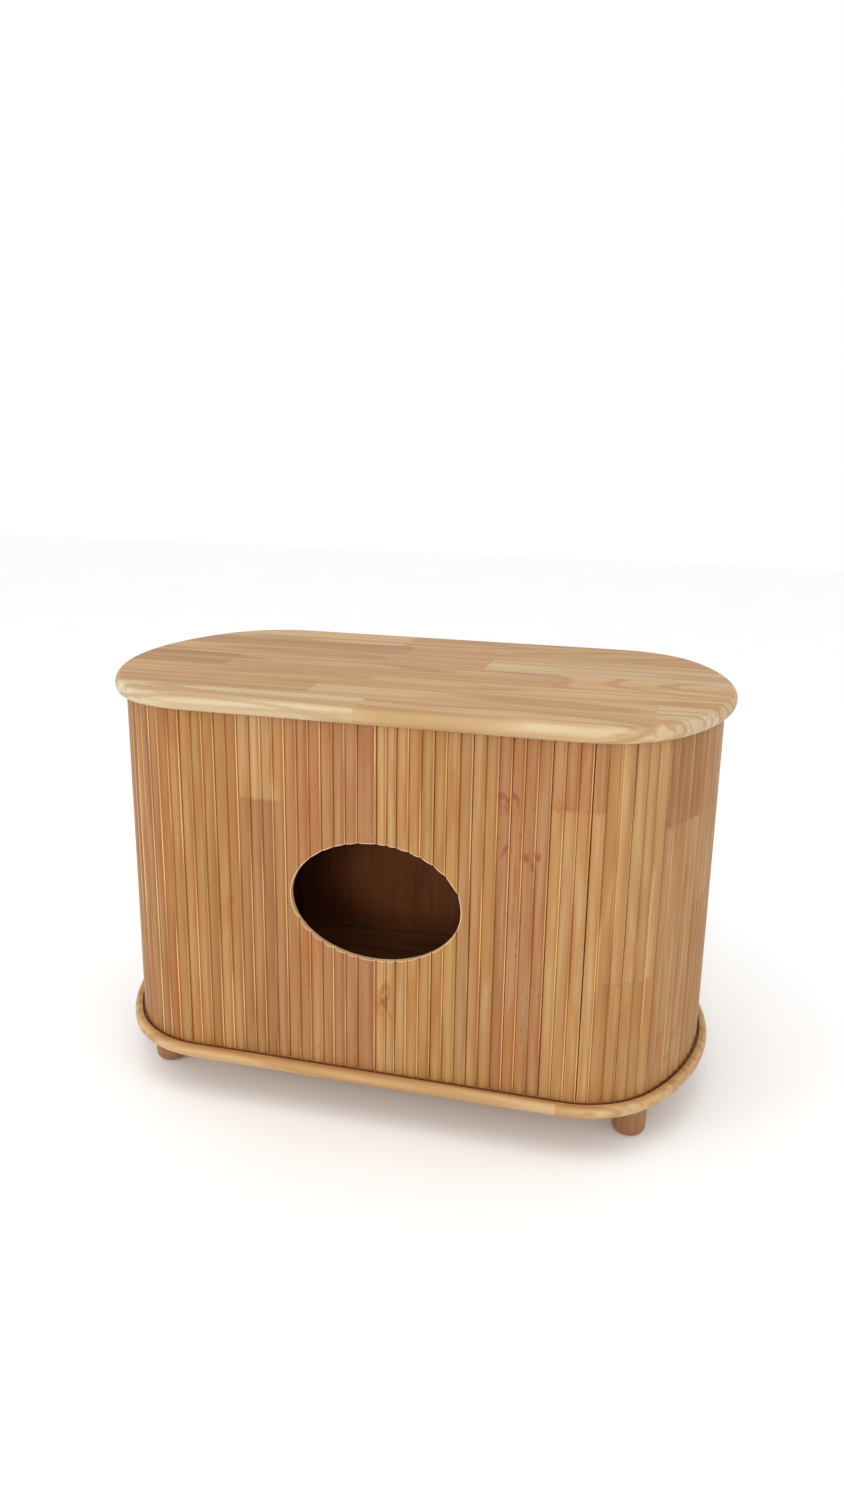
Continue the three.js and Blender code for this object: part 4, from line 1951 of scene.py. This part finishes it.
LEFT_BOARDS = (
    Board(1, Tone.ROSE, pores=0.5),
    Board(2, Tone.RUSSET, pores=0.3),
    Board(4, Tone.BLUSH, pores=0.2),
    Board(4, Tone.STRAW, Tone.TAN, 464),
    Board(5, Tone.HONEY),
    Board(1, Tone.HONEY, pores=1.0),
    Board(1, Tone.AMBER),
    Board(5, Tone.TAN),
    Board(5, Tone.SAND, Tone.HONEY, 300),
    Board(5, Tone.BLUSH, pores=0.2),
    Board(4, Tone.HONEY, Tone.STRAW, 210),
    Board(5, Tone.TAN),
    Board(5, Tone.STRAW, Tone.SAND, 420),
)
RIGHT_BOARDS = (
    Board(3, Tone.STRAW),
    Board(3, Tone.HONEY),
    Board(1, Tone.HONEY),
    Board(3, Tone.SAND),
    Board(4, Tone.RUSSET, pores=0.4),
    Board(4, Tone.BLUSH, Tone.STRAW, 490),
    Board(5, Tone.STRAW, Tone.HONEY, 254),
    Board(5, Tone.TAN, Tone.SAND, 461),
    Board(5, Tone.SAND, Tone.HONEY, 330),
    Board(4, Tone.HONEY),
    Board(5, Tone.STRAW, Tone.TAN, 180),
    Board(5, Tone.BLUSH, pores=0.2),
)
MARKS = (
    Mark(MarkKind.ARCH, 173, 496, 6.5, 12, 1.0, -0.12),
    Mark(MarkKind.STAIN, 170, 504, 5, 6, 0.85),
    Mark(MarkKind.ARCH, 187, 496, 6, 12, 1.0, -0.16),
    Mark(MarkKind.STAIN, 185, 504, 4, 5, 0.6),
    Mark(MarkKind.STAIN, 177, 486, 3, 10, 0.5, -0.5),
    Mark(MarkKind.STAIN, 204, 424, 9, 8, 0.95),
    Mark(MarkKind.STAIN, 220, 426, 6, 8, 0.9),
    Mark(MarkKind.STAIN, 214, 411, 4, 14, 0.7, -0.3),
    Mark(MarkKind.STAIN, 177, 430, 4, 12, 0.9, 0.4),
    Mark(MarkKind.STAIN, 192, 395, 3, 30, 0.45),
    Mark(MarkKind.STAIN, 190, 340, 3, 24, 0.4),
    Mark(MarkKind.FLAME, 106, 512, 5, 40, 0.8, -0.03),
    Mark(MarkKind.FLAME, 56, 470, 6, 60, 0.4),
    Mark(MarkKind.FLAME, 30, 505, 4, 70, 0.4),
    Mark(MarkKind.FLAME, -30, 440, 6, 90, 0.4),
    Mark(MarkKind.FLAME, 241, 500, 6, 14, 0.8),
    Mark(MarkKind.FLAME, 258, 505, 5, 24, 0.5),
    Mark(MarkKind.SWIRL, 17, 200, 8, 18, 0.9, 0.2),
    Mark(MarkKind.SWIRL, 14, 184, 6, 14, 0.9, 0.4),
    Mark(MarkKind.FLAME, 24, 176, 3, 16, 0.9, -0.35),
    Mark(MarkKind.STAIN, 17, 187, 2.2, 15, 0.75, -0.45),
    Mark(MarkKind.STAIN, 18, 193, 2, 8, 0.6, 0.8),
    Mark(MarkKind.SWIRL, 404, 150, 9, 14, 0.9, 0.3),
    Mark(MarkKind.FLAME, 436, 150, 7, 9, 0.8),
    Mark(MarkKind.SWIRL, 424, 110, 9, 12, 0.8),
    Mark(MarkKind.FLAME, 380, 170, 7, 45, 0.4),
    Mark(MarkKind.STAIN, -205, 315, 10, 6, 0.35),
    Mark(MarkKind.FLAME, -120, 400, 7, 60, 0.4),
)


def main() -> None:
    """Builds and dresses the cabinet, then the studio."""
    logging.basicConfig(level=logging.INFO, format="%(name)s: %(message)s")
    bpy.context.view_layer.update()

    top = BullnosedPanel(
        "top_panel",
        "top_wood",
        TOP_FINISH,
        bottom=583.0,
        thickness=23.0,
        nose_depth=10.0,
        groove_above=False,
    )
    base = BullnosedPanel(
        "base_panel",
        "base_wood",
        BASE_FINISH,
        bottom=65.0,
        thickness=18.0,
        nose_depth=8.0,
        groove_above=True,
        recesses=True,
    )
    for panel in (top, base):
        piece = panel.build()
        panel.dress(piece)
        log.info("panel %s", piece.name)

    door_materials = (
        SlatFinish(marks=MARKS).material(),
        CanvasFinish().material(),
        CutEdgeFinish().material(),
    )
    left = TambourDoor(
        Side.LEFT,
        stile_widths=(26.0,),
        group_counts=(3,) * 8 + (4,) * 5 + (3, 3, 2),
        tail_gap=2.5,
        boards=LEFT_BOARDS,
    )
    right = TambourDoor(
        Side.RIGHT,
        stile_widths=(14.0, 13.0),
        group_counts=(3,) * 8 + (4,) * 5 + (3, 3, 1),
        tail_gap=8.3,
        boards=RIGHT_BOARDS,
    )
    for door in (left, right):
        pieces = door.build()
        door.dress(pieces, door_materials)
        for piece, node, body in pieces:
            log.info("slats %s for %s on %s", piece.name, node, body)

    feet = TurnedFeet()
    turned = feet.build()
    foot_wood = UprightFinish("foot_varnish", linear(143, 102, 59)).material()
    feet.dress(turned, foot_wood, SteelFinish().material())
    for piece, node in turned:
        log.info("turned piece %s for %s", piece.name, node)

    InnerFrame().dress()

    Studio().build()
    log.info("sizes written")


if __name__ == "__main__":
    main()
